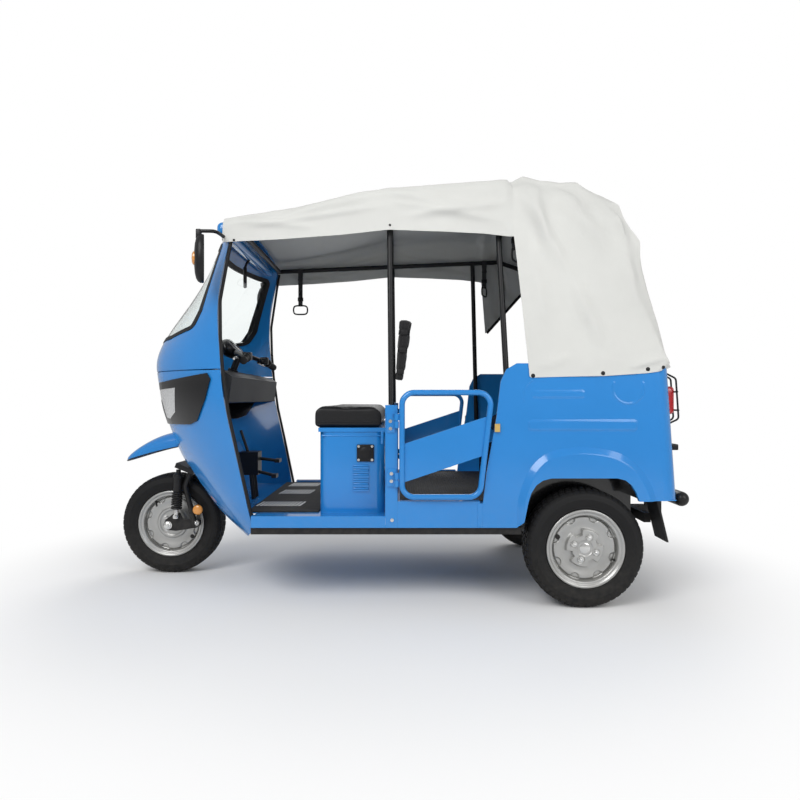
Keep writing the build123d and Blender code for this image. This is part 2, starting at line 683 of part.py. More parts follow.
LID_Z = (BOX_TOP_Z + SEAT_GAP, BOX_TOP_Z + SEAT_GAP + LID_THICKNESS)
with BuildPart() as seat_lid:
    block((BOX_REAR_X - 2, BOX_FRONT_X + 4), (box_width[0] - 4, box_width[1] + 4), LID_Z)
    block((BOX_REAR_X + 2, BOX_FRONT_X), (box_width[0], box_width[1]), (LID_Z[0], LID_Z[1] - 4),
          mode=Mode.SUBTRACT)
    for s in sides:
        block((BOX_REAR_X - 2, BOX_FRONT_X + 4), (s * (box_width[1] - 12), s * (box_width[1] + 4)),
              (LID_Z[0], LID_Z[0] + 4))
keep(seat_lid.part, "seat_lid")

with BuildPart() as driver_cushion:
    with BuildSketch(Plane.XZ.offset(-box_width[1] - 6)):
        with BuildLine():
            FilletPolyline(
                (-4, LID_Z[1]), (-4, LID_Z[1] + DRIVER_CUSHION_HEIGHT - 2),
                (312, LID_Z[1] + DRIVER_CUSHION_HEIGHT), (312, LID_Z[1]),
                radius=(14, 38, 30, 10), close=True,
            )
        make_face()
    extrude(amount=2 * box_width[1] + 12)
keep(driver_cushion.part, "driver_cushion")

# Rear tub: side skins with flared arches, rear panel, wheel houses and bottom.
TUB_REAR_TOP_X = -1226.0
TUB_REAR_LOW_X = -1266.0
TUB_LOW_Z = 455.0
ARCH_FLARE_Y = half_body + 16
side_outline = [
    (TUB_FRONT_X, 342), (-568, 342), (-597, 366), (-604, 400), (-614, 450), (-626, 490), (-648, 524),
    (-676, 544), (-712, 553), (-990, 553), (-1024, 544), (-1050, 522), (-1068, 492), (-1082, TUB_LOW_Z),
    (-1300, TUB_LOW_Z), (-1300, TUB_TOP_Z),
    (-568, TUB_TOP_Z), (-524, 1012), (-500, 962), (-482, 806), (-440, 574),
]


def tub_solid(inset, z_low, z_high):
    """The closed envelope of the rear tub, moved inward by the inset."""
    with BuildPart() as envelope:
        for z, rear in ((TUB_LOW_Z, TUB_REAR_LOW_X), (TUB_TOP_Z, TUB_REAR_TOP_X)):
            slope = (TUB_REAR_TOP_X - TUB_REAR_LOW_X) / (TUB_TOP_Z - TUB_LOW_Z)
            level = z_low if z == TUB_LOW_Z else z_high
            rear = rear + (level - z) * slope + inset
            half = half_body - inset
            corner = 75 - inset
            arc = corner * (1 - math.sqrt(0.5))
            with BuildSketch(Plane.XY.offset(level)):
                with BuildLine():
                    Line((TUB_FRONT_X + 2 * inset, half), (TUB_FRONT_X + 2 * inset, -half))
                    Line((TUB_FRONT_X + 2 * inset, -half), (rear + corner, -half))
                    ThreePointArc((rear + corner, -half), (rear + arc, -half + arc),
                                  (rear, -half + corner))
                    Line((rear, -half + corner), (rear, half - corner))
                    ThreePointArc((rear, half - corner), (rear + arc, half - arc),
                                  (rear + corner, half))
                    Line((rear + corner, half), (TUB_FRONT_X + 2 * inset, half))
                make_face()
        loft(ruled=True)
    return envelope.part


# The raised band round each wheel arch: its outline in side view, as arcs.
flare_points = [(-572, 342), (-590, 520), (-668, 640), (-860, 684), (-1050, 632), (-1142, 510), (-1170, 342)]
FLARE_TAPER = 60.0
FLARE_ROUND = 9.0
house_roof = [
    (-592, 348), (-593, 400), (-612, 478), (-636, 545), (-690, 572), (-1015, 572), (-1070, 540),
    (-1104, TUB_LOW_Z), (-1108, TUB_LOW_Z), (-1074, 543), (-1017, 576), (-688, 576), (-633, 549),
    (-608, 480), (-589, 401), (-588, 348),
]
house_side = [
    (-592, 348), (-593, 400), (-612, 478), (-636, 545), (-690, 572), (-1015, 572), (-1070, 540),
    (-1104, TUB_LOW_Z), (-1104, 430), (-1104, 348),
]
with BuildPart() as rear_body:
    add(tub_solid(0, 340, TUB_TOP_Z))
    add(tub_solid(SKIN, 330, TUB_TOP_Z + 10), mode=Mode.SUBTRACT)
    for s in sides:
        with BuildSketch(Plane.XZ.offset(-s * (half_body - 0.5))):
            with BuildLine():
                Spline(*flare_points)
                Line(flare_points[-1], flare_points[0])
            make_face()
        extrude(amount=-s * (ARCH_FLARE_Y - half_body + 0.5), taper=FLARE_TAPER)
    crest = rear_body.edges().filter_by(
        lambda edge: abs(abs(edge.center().Y) - ARCH_FLARE_Y) < 0.01 and edge.center().Z > 400
    )
    fillet(crest, radius=FLARE_ROUND)
    add(side_prism(side_outline, -700, 700), mode=Mode.INTERSECT)
    for s in sides:
        y_low, y_high = sorted((s * WHEELHOUSE_Y, s * (half_body - SKIN + 1)))
        add(side_prism(house_roof, y_low, y_high))
        y_low, y_high = sorted((s * WHEELHOUSE_Y, s * (WHEELHOUSE_Y + SKIN)))
        add(side_prism(house_side, y_low, y_high))
        y_low, y_high = sorted((s * (WHEELHOUSE_Y + SKIN), s * (half_body - SKIN - 1)))
        block((-1245, -1104), (y_low, y_high), (TUB_LOW_Z, TUB_LOW_Z + SKIN))
    block((-1255, TUB_FLOOR_REAR_X - SEAT_GAP), (-WHEELHOUSE_Y, WHEELHOUSE_Y), (TUB_LOW_Z, TUB_LOW_Z + SKIN))
    add(side_prism([(-640.4, 441), (-636.4, 380), (-640.4, 380), (-644.4, 459), (-640.4, 459)], -447, 447))
keep(rear_body.part, "rear_body")

# Passenger seat: a pan across the tub, a cushion and a leaning back.
SEAT_PAN_Z = 690.0
SEAT_FRONT_X = -636.0
with BuildPart() as seat_base:
    pan_y = half_body - SKIN - SEAT_GAP
    block((-1168, SEAT_FRONT_X), (-pan_y, pan_y), (SEAT_PAN_Z - SKIN, SEAT_PAN_Z))
    block((SEAT_FRONT_X - SKIN, SEAT_FRONT_X), (-pan_y, pan_y), (580, SEAT_PAN_Z))
    inner = WHEELHOUSE_Y - SEAT_GAP
    block((SEAT_FRONT_X - SKIN, SEAT_FRONT_X), (-inner, inner), (STEP_Z, SEAT_PAN_Z))
keep(seat_base.part, "seat_base")

with BuildPart() as rear_cushion:
    with BuildSketch(Plane.XZ.offset(-545)):
        with BuildLine():
            FilletPolyline(
                (-1092, SEAT_PAN_Z), (-1092, SEAT_PAN_Z + 92), (-600, SEAT_PAN_Z + 104),
                (-600, SEAT_PAN_Z), radius=(8, 14, 38, 30), close=True,
            )
        make_face()
    extrude(amount=1090)
keep(rear_cushion.part, "rear_cushion")

with BuildPart() as seat_back:
    with BuildSketch(Plane.XZ.offset(-545)):
        with BuildLine():
            FilletPolyline(
                (-1188, SEAT_PAN_Z), (-1206, 1096), (-1132, 1098), (-1093, SEAT_PAN_Z),
                radius=(8, 30, 30, 8), close=True,
            )
        make_face()
    extrude(amount=1090)
keep(seat_back.part, "seat_back")

# Roof: rails, bows and posts of tube, and the canvas over them.
# Columns: X, rail height, shoulder height, crown height.
bows = [
    (642.0, 1640.0, 1664.0, 1682.0),
    (-24.0, 1674.0, 1803.0, 1829.0),
    (-660.0, 1697.0, 1846.0, 1868.0),
]
roof_tube = ROOF_TUBE_RADIUS
SHOULDER_BOW_Y = 446.0
CROWN_FILLET = 300.0

with BuildPart() as roof_frame:
    for s in sides:
        add(rod((bows[0][0], s * RAIL_Y, bows[0][1]), (bows[2][0], s * RAIL_Y, bows[2][1]), roof_tube))
        # Lug from the rail to the side of the cowl.
        y_low, y_high = sorted((s * RAIL_Y, s * 530))
        lug = side_prism([(640, 1630), (664, 1630), (664, 1650), (640, 1650)], y_low, y_high)
        add(lug & cab_solid(upper_levels, SKIN + SEAT_GAP, 30, 5))
        # Middle post on the door post, and the rear post inside the tub.
        add(rod((-38, s * 583, POST_TOP_Z + 2), (-29, s * (RAIL_Y + 8), 1675), roof_tube))
        add(rod((-540, s * 580, 760), (-505, s * RAIL_Y, 1692), roof_tube))
        # Rear hoop legs from the tub up to the last bow, and its brace.
        add(bent_tube(
            [(-1188, s * 575, 800), (-1172, s * 560, 1080), (-1092, s * 500, 1545), (-985, s * 440, 1728)],
            (300, 120), roof_tube,
        ))
        add(rod((bows[2][0], s * RAIL_Y, bows[2][1]), (-1088, s * 497, 1555), roof_tube))
    for x, rail, shoulder, crown in bows[1:]:
        add(bent_tube(
            [(x, RAIL_Y + 2, rail), (x, SHOULDER_BOW_Y, shoulder), (x, 0, crown),
             (x, -SHOULDER_BOW_Y, shoulder), (x, -RAIL_Y - 2, rail)],
            (60, CROWN_FILLET, 60), roof_tube,
        ))
    add(rod((bows[0][0], -RAIL_Y, bows[0][1]), (bows[0][0], RAIL_Y, bows[0][1]), roof_tube))
    add(rod((-985, -440, 1728), (-985, 440, 1728), roof_tube))
    add(rod((-1092, -499, 1545), (-1092, 499, 1545), roof_tube))
keep(roof_frame.part, "roof_frame")

# Canvas over the front bay: sections across the roof at each bow.
# Columns: X, height of the hanging edge, shoulder height, crown height.
canvas_stations = [
    (694.0, 1566.0, 1684.0, 1702.0),
    (-24.0, 1625.0, 1820.0, 1846.0),
    (-566.0, 1588.0, 1856.0, 1880.0),
]
CANVAS_EDGE_Y = 537.0
CANVAS_LOW_Y = half_body + CANVAS + SEAT_GAP
REAR_HEM_X = -1240.0
rear_profile = [
    (-566, 1876), (-660, 1886), (-780, 1880), (-872, 1852), (-940, 1808), (-1010, 1764), (-1048, 1722),
    (-1076, 1668), (-1110, 1606), (-1124, 1545), (-1126, 1462), (-1134, 1400), (-1160, 1304), (-1182, 1220),
    (-1200, 1130), (-1220, 1066), (REAR_HEM_X, 1036), (REAR_HEM_X, 1022), (-1190, 1008), (-940, 985),
    (-622, 985), (-566, 1588),
]
rear_front_view = [
    (-CANVAS_LOW_Y, 960), (-CANVAS_LOW_Y, 1050), (-578, 1300), (-548, 1560), (-532, 1640), (-505, 1775), (-450, 1862),
    (0, 1890), (450, 1862), (505, 1775), (532, 1640), (548, 1560), (578, 1300), (CANVAS_LOW_Y, 1050),
    (CANVAS_LOW_Y, 960),
]


def roof_bay(inset, extra):
    """The envelope of the front roof canvas, moved inward by the inset."""
    with BuildPart() as bay:
        for i, (x, edge, shoulder, crown) in enumerate(canvas_stations):
            x += extra if i == 0 else -extra if i == 2 else 0
            edge_y = CANVAS_EDGE_Y - inset
            side_y = SHOULDER_BOW_Y + 84 - inset
            top_y = SHOULDER_BOW_Y - 8
            shoulder -= inset
            crown -= inset
            side_z = shoulder - 36
            bend_y = (side_y + top_y) / 2 + 11
            bend_z = (side_z + shoulder) / 2 + 9
            with BuildSketch(Plane.YZ.offset(x)):
                with BuildLine():
                    Line((-edge_y, edge - extra), (-side_y, side_z))
                    ThreePointArc((-side_y, side_z), (-bend_y, bend_z), (-top_y, shoulder))
                    ThreePointArc((-top_y, shoulder), (0, crown), (top_y, shoulder))
                    ThreePointArc((top_y, shoulder), (bend_y, bend_z), (side_y, side_z))
                    Line((side_y, side_z), (edge_y, edge - extra))
                    Line((edge_y, edge - extra), (-edge_y, edge - extra))
                make_face()
        loft(ruled=True)
    return bay.part


def rear_bay(inset, extra):
    """The envelope of the rear canvas: side profile, front view and plan, all drawn in."""
    with BuildPart() as bay:
        with BuildSketch(Plane.XZ.offset(-700)):
            with BuildLine():
                Polyline(*rear_profile, close=True)
            make_face()
            if inset:
                offset(amount=-inset, kind=Kind.INTERSECTION, mode=Mode.REPLACE)
                with BuildLine():
                    Polyline(
                        (REAR_HEM_X + inset, 1036), (REAR_HEM_X + inset, 900), (-545, 900), (-545, 1570),
                        (-576, 1840), (-640, 1840), (-700, 1036), close=True,
                    )
                make_face()
        extrude(amount=1400)
        with BuildSketch(Plane.YZ.offset(-1400)):
            with BuildLine():
                Polyline(*rear_front_view, close=True)
            make_face()
            if inset:
                offset(amount=-inset, kind=Kind.INTERSECTION, mode=Mode.REPLACE)
                with Locations((0, 940)):
                    Rectangle(2 * (CANVAS_LOW_Y - inset), 60)
        extrude(amount=1000, mode=Mode.INTERSECT)
        with BuildSketch(Plane.XY.offset(800)):
            with Locations(((REAR_HEM_X + inset - 400) / 2, 0)):
                RectangleRounded(-REAR_HEM_X - inset - 400, 2 * (CANVAS_LOW_Y - inset), 82 - inset)
        extrude(amount=1200, mode=Mode.INTERSECT)
    return bay.part


with BuildPart() as canopy:
    add(roof_bay(0, 0))
    add(rear_bay(0, 0))
    add(roof_bay(CANVAS, 5), mode=Mode.SUBTRACT)
    add(rear_bay(CANVAS, 5), mode=Mode.SUBTRACT)
keep(canopy.part, "canopy")

# Hand straps with ring handles, hung from the rails.
rail_slope = (bows[2][1] - bows[0][1]) / (bows[0][0] - bows[2][0])
# Columns: X, side, length down to the ring.
straps = [(517.0, -1, 190.0), (-575.0, -1, 130.0), (-582.0, 1, 130.0)]
ring_outer = [(46, 17), (32, 31), (-32, 31), (-46, 17), (-46, -17), (-32, -31), (32, -31), (46, -17)]
ring_inner = [
    (36, 13.5), (28.5, 21), (-28.5, 21), (-36, 13.5), (-36, -13.5), (-28.5, -21), (28.5, -21), (36, -13.5),
]
with BuildPart() as strap_handles:
    for x, s, length in straps:
        top = bows[0][1] + (bows[0][0] - x) * rail_slope - ROOF_TUBE_RADIUS - 1
        block((x - 13, x + 13), (s * (RAIL_Y - 2), s * (RAIL_Y + 2)), (top - length, top))
        with BuildSketch(Plane.XZ.offset(-s * RAIL_Y + 5)):
            with Locations((x, top - length - 28)):
                Polygon(*ring_outer, align=None)
                Polygon(*ring_inner, align=None, mode=Mode.SUBTRACT)
        extrude(amount=-10)
keep(strap_handles.part, "strap_handles")

# Rolled side curtain tied behind the middle post.
with BuildPart() as rolled_curtain:
    add(rod((-98, 548, 1222), (-71.8, 571, 968), 22))
keep(rolled_curtain.part, "rolled_curtain")

# Rear lamps, their wire guards, the plate bracket and the bumper.
LAMP_Y = (430.0, 556.0)
tub_envelope = tub_solid(-SEAT_GAP, 340, TUB_TOP_Z)
with BuildPart() as tail_lamps:
    for s in sides:
        block((-1268, -1226), (s * LAMP_Y[0], s * LAMP_Y[1] - s * 40), (816, 946))
    add(tub_envelope, mode=Mode.SUBTRACT)
keep(tail_lamps.part, "tail_lamps")

with BuildPart() as tail_guards:
    for s in sides:
        for y in (424, 476, 528):
            add(bent_tube(
                [(-1224, s * y, 1000), (-1272, s * y, 976), (-1284, s * y, 800), (-1236, s * y, 778)],
                (18, 18), 4,
            ))
        for x, z in ((-1282, 838), (-1277, 918)):
            add(rod((x, s * 420, z), (x, s * 532, z), 4))
    add(tub_envelope, mode=Mode.SUBTRACT)
keep(tail_guards.part, "tail_guards")

with BuildPart() as plate_bracket:
    block((-1290, -1286), (-120, 120), (655, 697))
    for s in sides:
        block((-1287, -1240), (s * 60, s * 80), (662, 690))
        with Locations(Location((-1288, s * 100, 676), (0, 90, 0))):
            Cylinder(3.5, 20, mode=Mode.SUBTRACT)
    add(tub_envelope, mode=Mode.SUBTRACT)
keep(plate_bracket.part, "plate_bracket")

BUMPER_RADIUS = 32.0
BUMPER_HALF = 494.0
BUMPER_Z = 448.0
with BuildPart() as rear_bumper:
    add(rod((rear_end_x + BUMPER_RADIUS, -BUMPER_HALF, BUMPER_Z),
            (rear_end_x + BUMPER_RADIUS, BUMPER_HALF, BUMPER_Z), BUMPER_RADIUS))
    for s in sides:
        with Locations((rear_end_x + BUMPER_RADIUS, s * BUMPER_HALF, BUMPER_Z)):
            Sphere(BUMPER_RADIUS)
        block((rear_end_x + 15, MEMBER_REAR_X - SEAT_GAP), (s * 225, s * 245), (345, BUMPER_Z))
keep(rear_bumper.part, "rear_bumper")

with BuildPart() as mud_flaps:
    for s in sides:
        y_low, y_high = sorted((s * 468, s * 596))
        add(side_prism([(-1162, TUB_LOW_Z), (-1170, TUB_LOW_Z), (-1212, 280), (-1204, 280)], y_low, y_high))
keep(mud_flaps.part, "mud_flaps")

# Driven rear axle on two arms, with brake drums, stub shafts and the motor.
with BuildPart() as rear_axle:
    axle_low = tyre_radius
    add(rod((rear_axle_x, -464, axle_low), (rear_axle_x, 464, axle_low), 30))
    add(rod((rear_axle_x, -80, axle_low), (rear_axle_x, 80, axle_low), 85))
    add(rod((rear_axle_x, -200, axle_low + 8), (rear_axle_x, 0, axle_low + 8), 72))
    for s in sides:
        add(rod((rear_axle_x, s * 460, axle_low), (rear_axle_x, s * 498, axle_low), 96))
        add(rod((rear_axle_x, s * 490, axle_low), (rear_axle_x, s * (rear_wheel_y + 5), axle_low), STUB_RADIUS))
        add(rod((-595, s * 330, 327), (rear_axle_x + 10, s * 330, axle_low + 4), 16))
keep(rear_axle.part, "rear_axle")

with BuildPart() as rear_springs:
    for s in sides:
        add(rod((rear_axle_x, s * 390, axle_low + 30), (rear_axle_x, s * 390, TUB_LOW_Z), 34))
keep(rear_springs.part, "rear_springs")

with BuildPart() as door_latches:
    for s in sides:
        block((-496, -474), (s * half_body, s * (half_body + 11)), (748, 782))
keep(door_latches.part, "door_latches")

# Mirrors on arms from the windscreen posts.
MIRROR_Y = 622.0
MIRROR_TURN = 18.0
with BuildPart() as mirrors:
    for s in sides:
        add(bent_tube(
            [(688, s * 519, 1591), (700, s * MIRROR_Y, 1591), (768, s * MIRROR_Y, 1591),
             (768, s * MIRROR_Y, 1520)],
            (25, 25), 9,
        ))
        # The head faces the driver, so it is turned about the upright.
        head_place = Location((768, s * MIRROR_Y, 1476), (0, 0, -s * MIRROR_TURN))
        for depth, wide, high in ((-20, 66, 103), (-4, 66, 103), (20, 46, 80)):
            with BuildSketch(Plane(head_place * Plane.YZ.offset(depth).location)):
                Ellipse(wide, high)
        loft()
keep(mirrors.part, "mirrors")


# Steering head: all drawn along the steering axis, then set in place.
def in_head(part):
    """Set a piece drawn in the steering frame into the vehicle frame."""
    return steer_plane.location * part


ARM_PIVOT = (-143.0, 64.0)
SPRING_TOP = (36.0, 272.0)
SPRING_FOOT = (-36.0, 60.0)
ARM_Y = FORK_LEG_Y - FORK_LEG_RADIUS
with BuildPart() as fork_local:
    add(rod((0, 0, CROWN_LOW), (0, 0, STEM_TOP), STEM_RADIUS))
    block((-42, 58), (-FORK_LEG_Y - 22, FORK_LEG_Y + 22), (CROWN_LOW, CROWN_HIGH))
    for s in sides:
        add(bent_tube(
            [(-20, s * FORK_LEG_Y, CROWN_LOW + 8), (-20, s * FORK_LEG_Y, 215),
             (ARM_PIVOT[0], s * FORK_LEG_Y, ARM_PIVOT[1] - 14)],
            (60,), FORK_LEG_RADIUS,
        ))
keep(in_head(fork_local.part), "fork")

with BuildPart() as suspension_local:
    add(rod((-AXLE_BEHIND_AXIS, -ARM_Y - 14, 0), (-AXLE_BEHIND_AXIS, ARM_Y + 14, 0), STUB_RADIUS))
    for s in sides:
        y_low, y_high = sorted((s * (ARM_Y - LINK_THICKNESS), s * (ARM_Y - SEAT_GAP)))
        add(side_prism(
            [(-AXLE_BEHIND_AXIS + 22, -18), (-AXLE_BEHIND_AXIS + 22, 14), (-30, 84), (-50, 84),
             (ARM_PIVOT[0] - 16, ARM_PIVOT[1] + 16), (ARM_PIVOT[0] - 20, ARM_PIVOT[1] - 14)],
            y_low, y_high,
        ))
        add(rod((SPRING_FOOT[0], s * SPRING_Y, SPRING_FOOT[1]), (SPRING_TOP[0], s * SPRING_Y, SPRING_TOP[1]),
                SPRING_RADIUS))
        block((-62, -22), (s * (ARM_Y - LINK_THICKNESS), s * (SPRING_Y + 4)), (48, 78))
keep(in_head(suspension_local.part), "front_suspension")

bar_h = STEM_TOP + 14
with BuildPart() as handlebar_local:
    block((-30, 30), (-34, 34), (STEM_TOP + 0, STEM_TOP + 30))
    add(bent_tube(
        [(-98, -240, bar_h + 6), (-10, -130, bar_h + 6), (-10, 130, bar_h + 6), (-98, 240, bar_h + 6)],
        (50, 50), BAR_RADIUS,
    ))
    for s in sides:
        add(rod((-98, s * 238, bar_h + 6), (-118, s * BAR_HALF_SPAN, bar_h - 8), BAR_RADIUS + 5))
keep(in_head(handlebar_local.part), "handlebar")
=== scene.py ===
import json
import math

import bmesh
import bpy
from mathutils import Matrix, Vector, noise
from mathutils.bvhtree import BVHTree


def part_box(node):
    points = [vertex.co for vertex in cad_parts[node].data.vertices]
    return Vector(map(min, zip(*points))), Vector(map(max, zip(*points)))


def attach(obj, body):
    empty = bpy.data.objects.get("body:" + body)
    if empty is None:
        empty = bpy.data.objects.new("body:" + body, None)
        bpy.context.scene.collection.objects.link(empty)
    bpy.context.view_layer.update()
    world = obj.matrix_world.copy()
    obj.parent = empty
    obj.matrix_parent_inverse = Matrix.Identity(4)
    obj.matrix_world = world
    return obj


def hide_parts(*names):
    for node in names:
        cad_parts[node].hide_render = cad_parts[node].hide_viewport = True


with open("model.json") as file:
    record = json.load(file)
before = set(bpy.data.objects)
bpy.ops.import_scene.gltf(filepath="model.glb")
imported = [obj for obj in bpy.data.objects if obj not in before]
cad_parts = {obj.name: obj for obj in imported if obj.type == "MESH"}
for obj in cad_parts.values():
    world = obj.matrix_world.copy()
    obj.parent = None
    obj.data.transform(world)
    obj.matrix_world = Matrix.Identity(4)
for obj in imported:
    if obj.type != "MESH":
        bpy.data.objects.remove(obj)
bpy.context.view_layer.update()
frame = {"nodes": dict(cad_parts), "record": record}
nodes = frame["nodes"]
scene = bpy.context.scene
scene.view_settings.view_transform = "Standard"

# The vehicle's sides, as the sign of Y, and their names.
SIDES = (1, -1)
HAND = {1: "left", -1: "right"}

# The camera stands level at the vehicle's left side, as the photograph was taken.
CAMERA_PLACE = Vector((-0.0745, 3.25, 0.891))
PIXELS = 800
FOCAL_PIXELS = 627
# The photograph's horizon lies this many pixels above its middle.
HORIZON_PIXELS = 2
SENSOR_MM = 36
camera_data = bpy.data.cameras.new("camera")
camera_data.sensor_width = SENSOR_MM
camera_data.lens = FOCAL_PIXELS / PIXELS * SENSOR_MM
camera_data.shift_y = -HORIZON_PIXELS / PIXELS
camera = bpy.data.objects.new("camera", camera_data)
camera.location = CAMERA_PLACE
camera.rotation_euler = (math.pi / 2, 0, math.pi)
scene.collection.objects.link(camera)
scene.camera = camera


# Nodes for materials.

FLOAT, COLOUR = "NodeSocketFloat", "NodeSocketColor"


def new_material(name):
    """An empty node material and its tree."""
    material = bpy.data.materials.new(name)
    material.use_nodes = True
    tree = material.node_tree
    tree.nodes.clear()
    return material, tree


def add_node(tree, kind, **values):
    """A node with its properties or unlinked sockets set by name."""
    node = tree.nodes.new(kind)
    for key, value in values.items():
        if hasattr(node, key):
            setattr(node, key, value)
        else:
            node.inputs[key.replace("_", " ")].default_value = value
    return node


def feed(tree, socket, value):
    """Gives an input a plain number, or a link from an output."""
    if isinstance(value, (int, float)):
        socket.default_value = value
    else:
        tree.links.new(value, socket)


def calc(tree, operation, *terms, clamp=False):
    """The result of a Math node on outputs or plain numbers."""
    node = add_node(tree, "ShaderNodeMath", operation=operation, use_clamp=clamp)
    for socket, term in zip(node.inputs, terms):
        feed(tree, socket, term)
    return node.outputs[0]


def map_range(tree, value, from_low, from_high, to_low=0.0, to_high=1.0, **values):
    """The result of a Map Range node."""
    node = add_node(tree, "ShaderNodeMapRange", **values)
    terms = {"Value": value, "From Min": from_low, "From Max": from_high, "To Min": to_low, "To Max": to_high}
    for label, term in terms.items():
        feed(tree, node.inputs[label], term)
    return node.outputs["Result"]


def object_place(tree):
    """Object coordinates."""
    return add_node(tree, "ShaderNodeTexCoord").outputs["Object"]


def split_place(tree):
    """The X, Y and Z outputs of Object coordinates."""
    split = add_node(tree, "ShaderNodeSeparateXYZ")
    tree.links.new(object_place(tree), split.inputs[0])
    return split.outputs


def noise_field(tree, scale, detail, roughness=0.5):
    """A noise texture's strength, on Object coordinates."""
    field = add_node(tree, "ShaderNodeTexNoise", Detail=detail, Roughness=roughness)
    tree.links.new(object_place(tree), field.inputs["Vector"])
    feed(tree, field.inputs["Scale"], scale)
    return field.outputs["Fac"]


def make_group(name, inputs, outputs):
    """A shader node group with named sockets: (name, type, default) in, (name, type) out."""
    group = bpy.data.node_groups.new(name, "ShaderNodeTree")
    for label, kind, default in inputs:
        socket = group.interface.new_socket(name=label, in_out="INPUT", socket_type=kind)
        socket.default_value = default
    for label, kind in outputs:
        group.interface.new_socket(name=label, in_out="OUTPUT", socket_type=kind)
    given = group.nodes.new("NodeGroupInput").outputs
    wanted = group.nodes.new("NodeGroupOutput").inputs
    return group, given, wanted


ROAD_DUST = (0.3, 0.27, 0.22, 1)


def make_road_film():
    """Colour with faint cloudy change, and road dust that thickens toward the ground."""
    group, given, wanted = make_group(
        "road film",
        [("Colour", COLOUR, (0.5, 0.5, 0.5, 1)), ("Dust colour", COLOUR, ROAD_DUST), ("Cloud", FLOAT, 0.08),
         ("Dust", FLOAT, 0.2), ("Dust top", FLOAT, 0.5), ("Roughness", FLOAT, 0.3)],
        [("Colour", COLOUR), ("Roughness", FLOAT)],
    )
    cloud = noise_field(group, 3.0, 4.0, 0.6)
    fine = noise_field(group, 38.0, 6.0, 0.7)
    fall = map_range(group, split_place(group)["Z"], 0.0, given["Dust top"], 1.0, 0.0)
    patch = map_range(group, fine, 0.35, 0.75)
    amount = calc(group, "MULTIPLY", calc(group, "MULTIPLY", fall, patch), given["Dust"], clamp=True)
    shade = map_range(group, cloud, 0.3, 0.7, -1.0, 1.0)
    tint = add_node(group, "ShaderNodeHueSaturation")
    group.links.new(given["Colour"], tint.inputs["Color"])
    group.links.new(calc(group, "MULTIPLY_ADD", shade, given["Cloud"], 1.0), tint.inputs["Value"])
    mix = add_node(group, "ShaderNodeMix", data_type="RGBA")
    group.links.new(amount, mix.inputs["Factor"])
    group.links.new(tint.outputs["Color"], mix.inputs["A"])
    group.links.new(given["Dust colour"], mix.inputs["B"])
    dulled = calc(group, "MULTIPLY_ADD", amount, 0.5, given["Roughness"], clamp=True)
    group.links.new(mix.outputs["Result"], wanted["Colour"])
    group.links.new(calc(group, "MULTIPLY_ADD", shade, 0.04, dulled, clamp=True), wanted["Roughness"])
    return group


def make_fine_grain():
    """A height of fine grain: noise for paint, mixed with cells for moulded or sewn skin."""
    group, given, wanted = make_group(
        "fine grain", [("Scale", FLOAT, 900.0), ("Cell scale", FLOAT, 300.0), ("Cells", FLOAT, 0.0)],
        [("Height", FLOAT)],
    )
    cells = add_node(group, "ShaderNodeTexVoronoi", feature="F1")
    group.links.new(object_place(group), cells.inputs["Vector"])
    group.links.new(given["Cell scale"], cells.inputs["Scale"])
    mix = add_node(group, "ShaderNodeMix")
    group.links.new(given["Cells"], mix.inputs["Factor"])
    group.links.new(noise_field(group, given["Scale"], 3.0), mix.inputs["A"])
    group.links.new(cells.outputs["Distance"], mix.inputs["B"])
    group.links.new(mix.outputs["Result"], wanted["Height"])
    return group


road_film = make_road_film()
fine_grain = make_fine_grain()
# Black painted shade for the tub's wheel houses and low inside.
PAINTED_SHADE_BLACK = (0.008, 0.008, 0.009, 1)


def with_painted_shade(tree, colour, region):
    """A colour that turns black within a region, as painted shade: (half width, top, middle X, half length)."""
    half_width, top, middle_x, half_length = region
    place = split_place(tree)
    inside = calc(tree, "LESS_THAN", calc(tree, "ABSOLUTE", place["Y"]), half_width)
    under = calc(tree, "LESS_THAN", place["Z"], top)
    along = calc(tree, "COMPARE", place["X"], middle_x, half_length)
    mix = add_node(tree, "ShaderNodeMix", data_type="RGBA", B=PAINTED_SHADE_BLACK)
    tree.links.new(calc(tree, "MULTIPLY", calc(tree, "MULTIPLY", inside, under), along), mix.inputs["Factor"])
    tree.links.new(colour, mix.inputs["A"])
    return mix.outputs["Result"]


def surface(name, colour, roughness, metallic=0.0, coat=0.0, cloud=0.05, dust=0.15, dust_top=0.5,
            grain=600.0, cells=0.0, cell_scale=300.0, depth=0.00005, bump=0.15, specular=0.5, sheen=0.0,
            dust_colour=ROAD_DUST, undercoat=None):
    """A principled surface with road film in its colour and fine grain in its bump, and black painted shade in a
    given region.
    """
    material, tree = new_material(name)
    out = add_node(tree, "ShaderNodeOutputMaterial")
    shader = add_node(tree, "ShaderNodeBsdfPrincipled", Metallic=metallic, Coat_Weight=coat, Coat_Roughness=0.06,
                      Specular_IOR_Level=specular, Sheen_Weight=sheen)
    film = add_node(tree, "ShaderNodeGroup", node_tree=road_film)
    for label, value in (("Colour", (*colour, 1)), ("Dust colour", dust_colour), ("Cloud", cloud), ("Dust", dust),
                         ("Dust top", dust_top), ("Roughness", roughness)):
        film.inputs[label].default_value = value
    paint = film.outputs["Colour"]
    # Painted shade: the colour turns black within the given region.
    if undercoat:
        paint = with_painted_shade(tree, paint, undercoat)
    tree.links.new(paint, shader.inputs["Base Color"])
    tree.links.new(film.outputs["Roughness"], shader.inputs["Roughness"])
    relief = add_node(tree, "ShaderNodeGroup", node_tree=fine_grain)
    for label, value in (("Scale", grain), ("Cells", cells), ("Cell scale", cell_scale)):
        relief.inputs[label].default_value = value
    height = add_node(tree, "ShaderNodeBump", Strength=bump, Distance=depth)
    tree.links.new(relief.outputs["Height"], height.inputs["Height"])
    tree.links.new(height.outputs["Normal"], shader.inputs["Normal"])
    tree.links.new(shader.outputs[0], out.inputs["Surface"])
    return material


GLASS_HAZE = 0.03


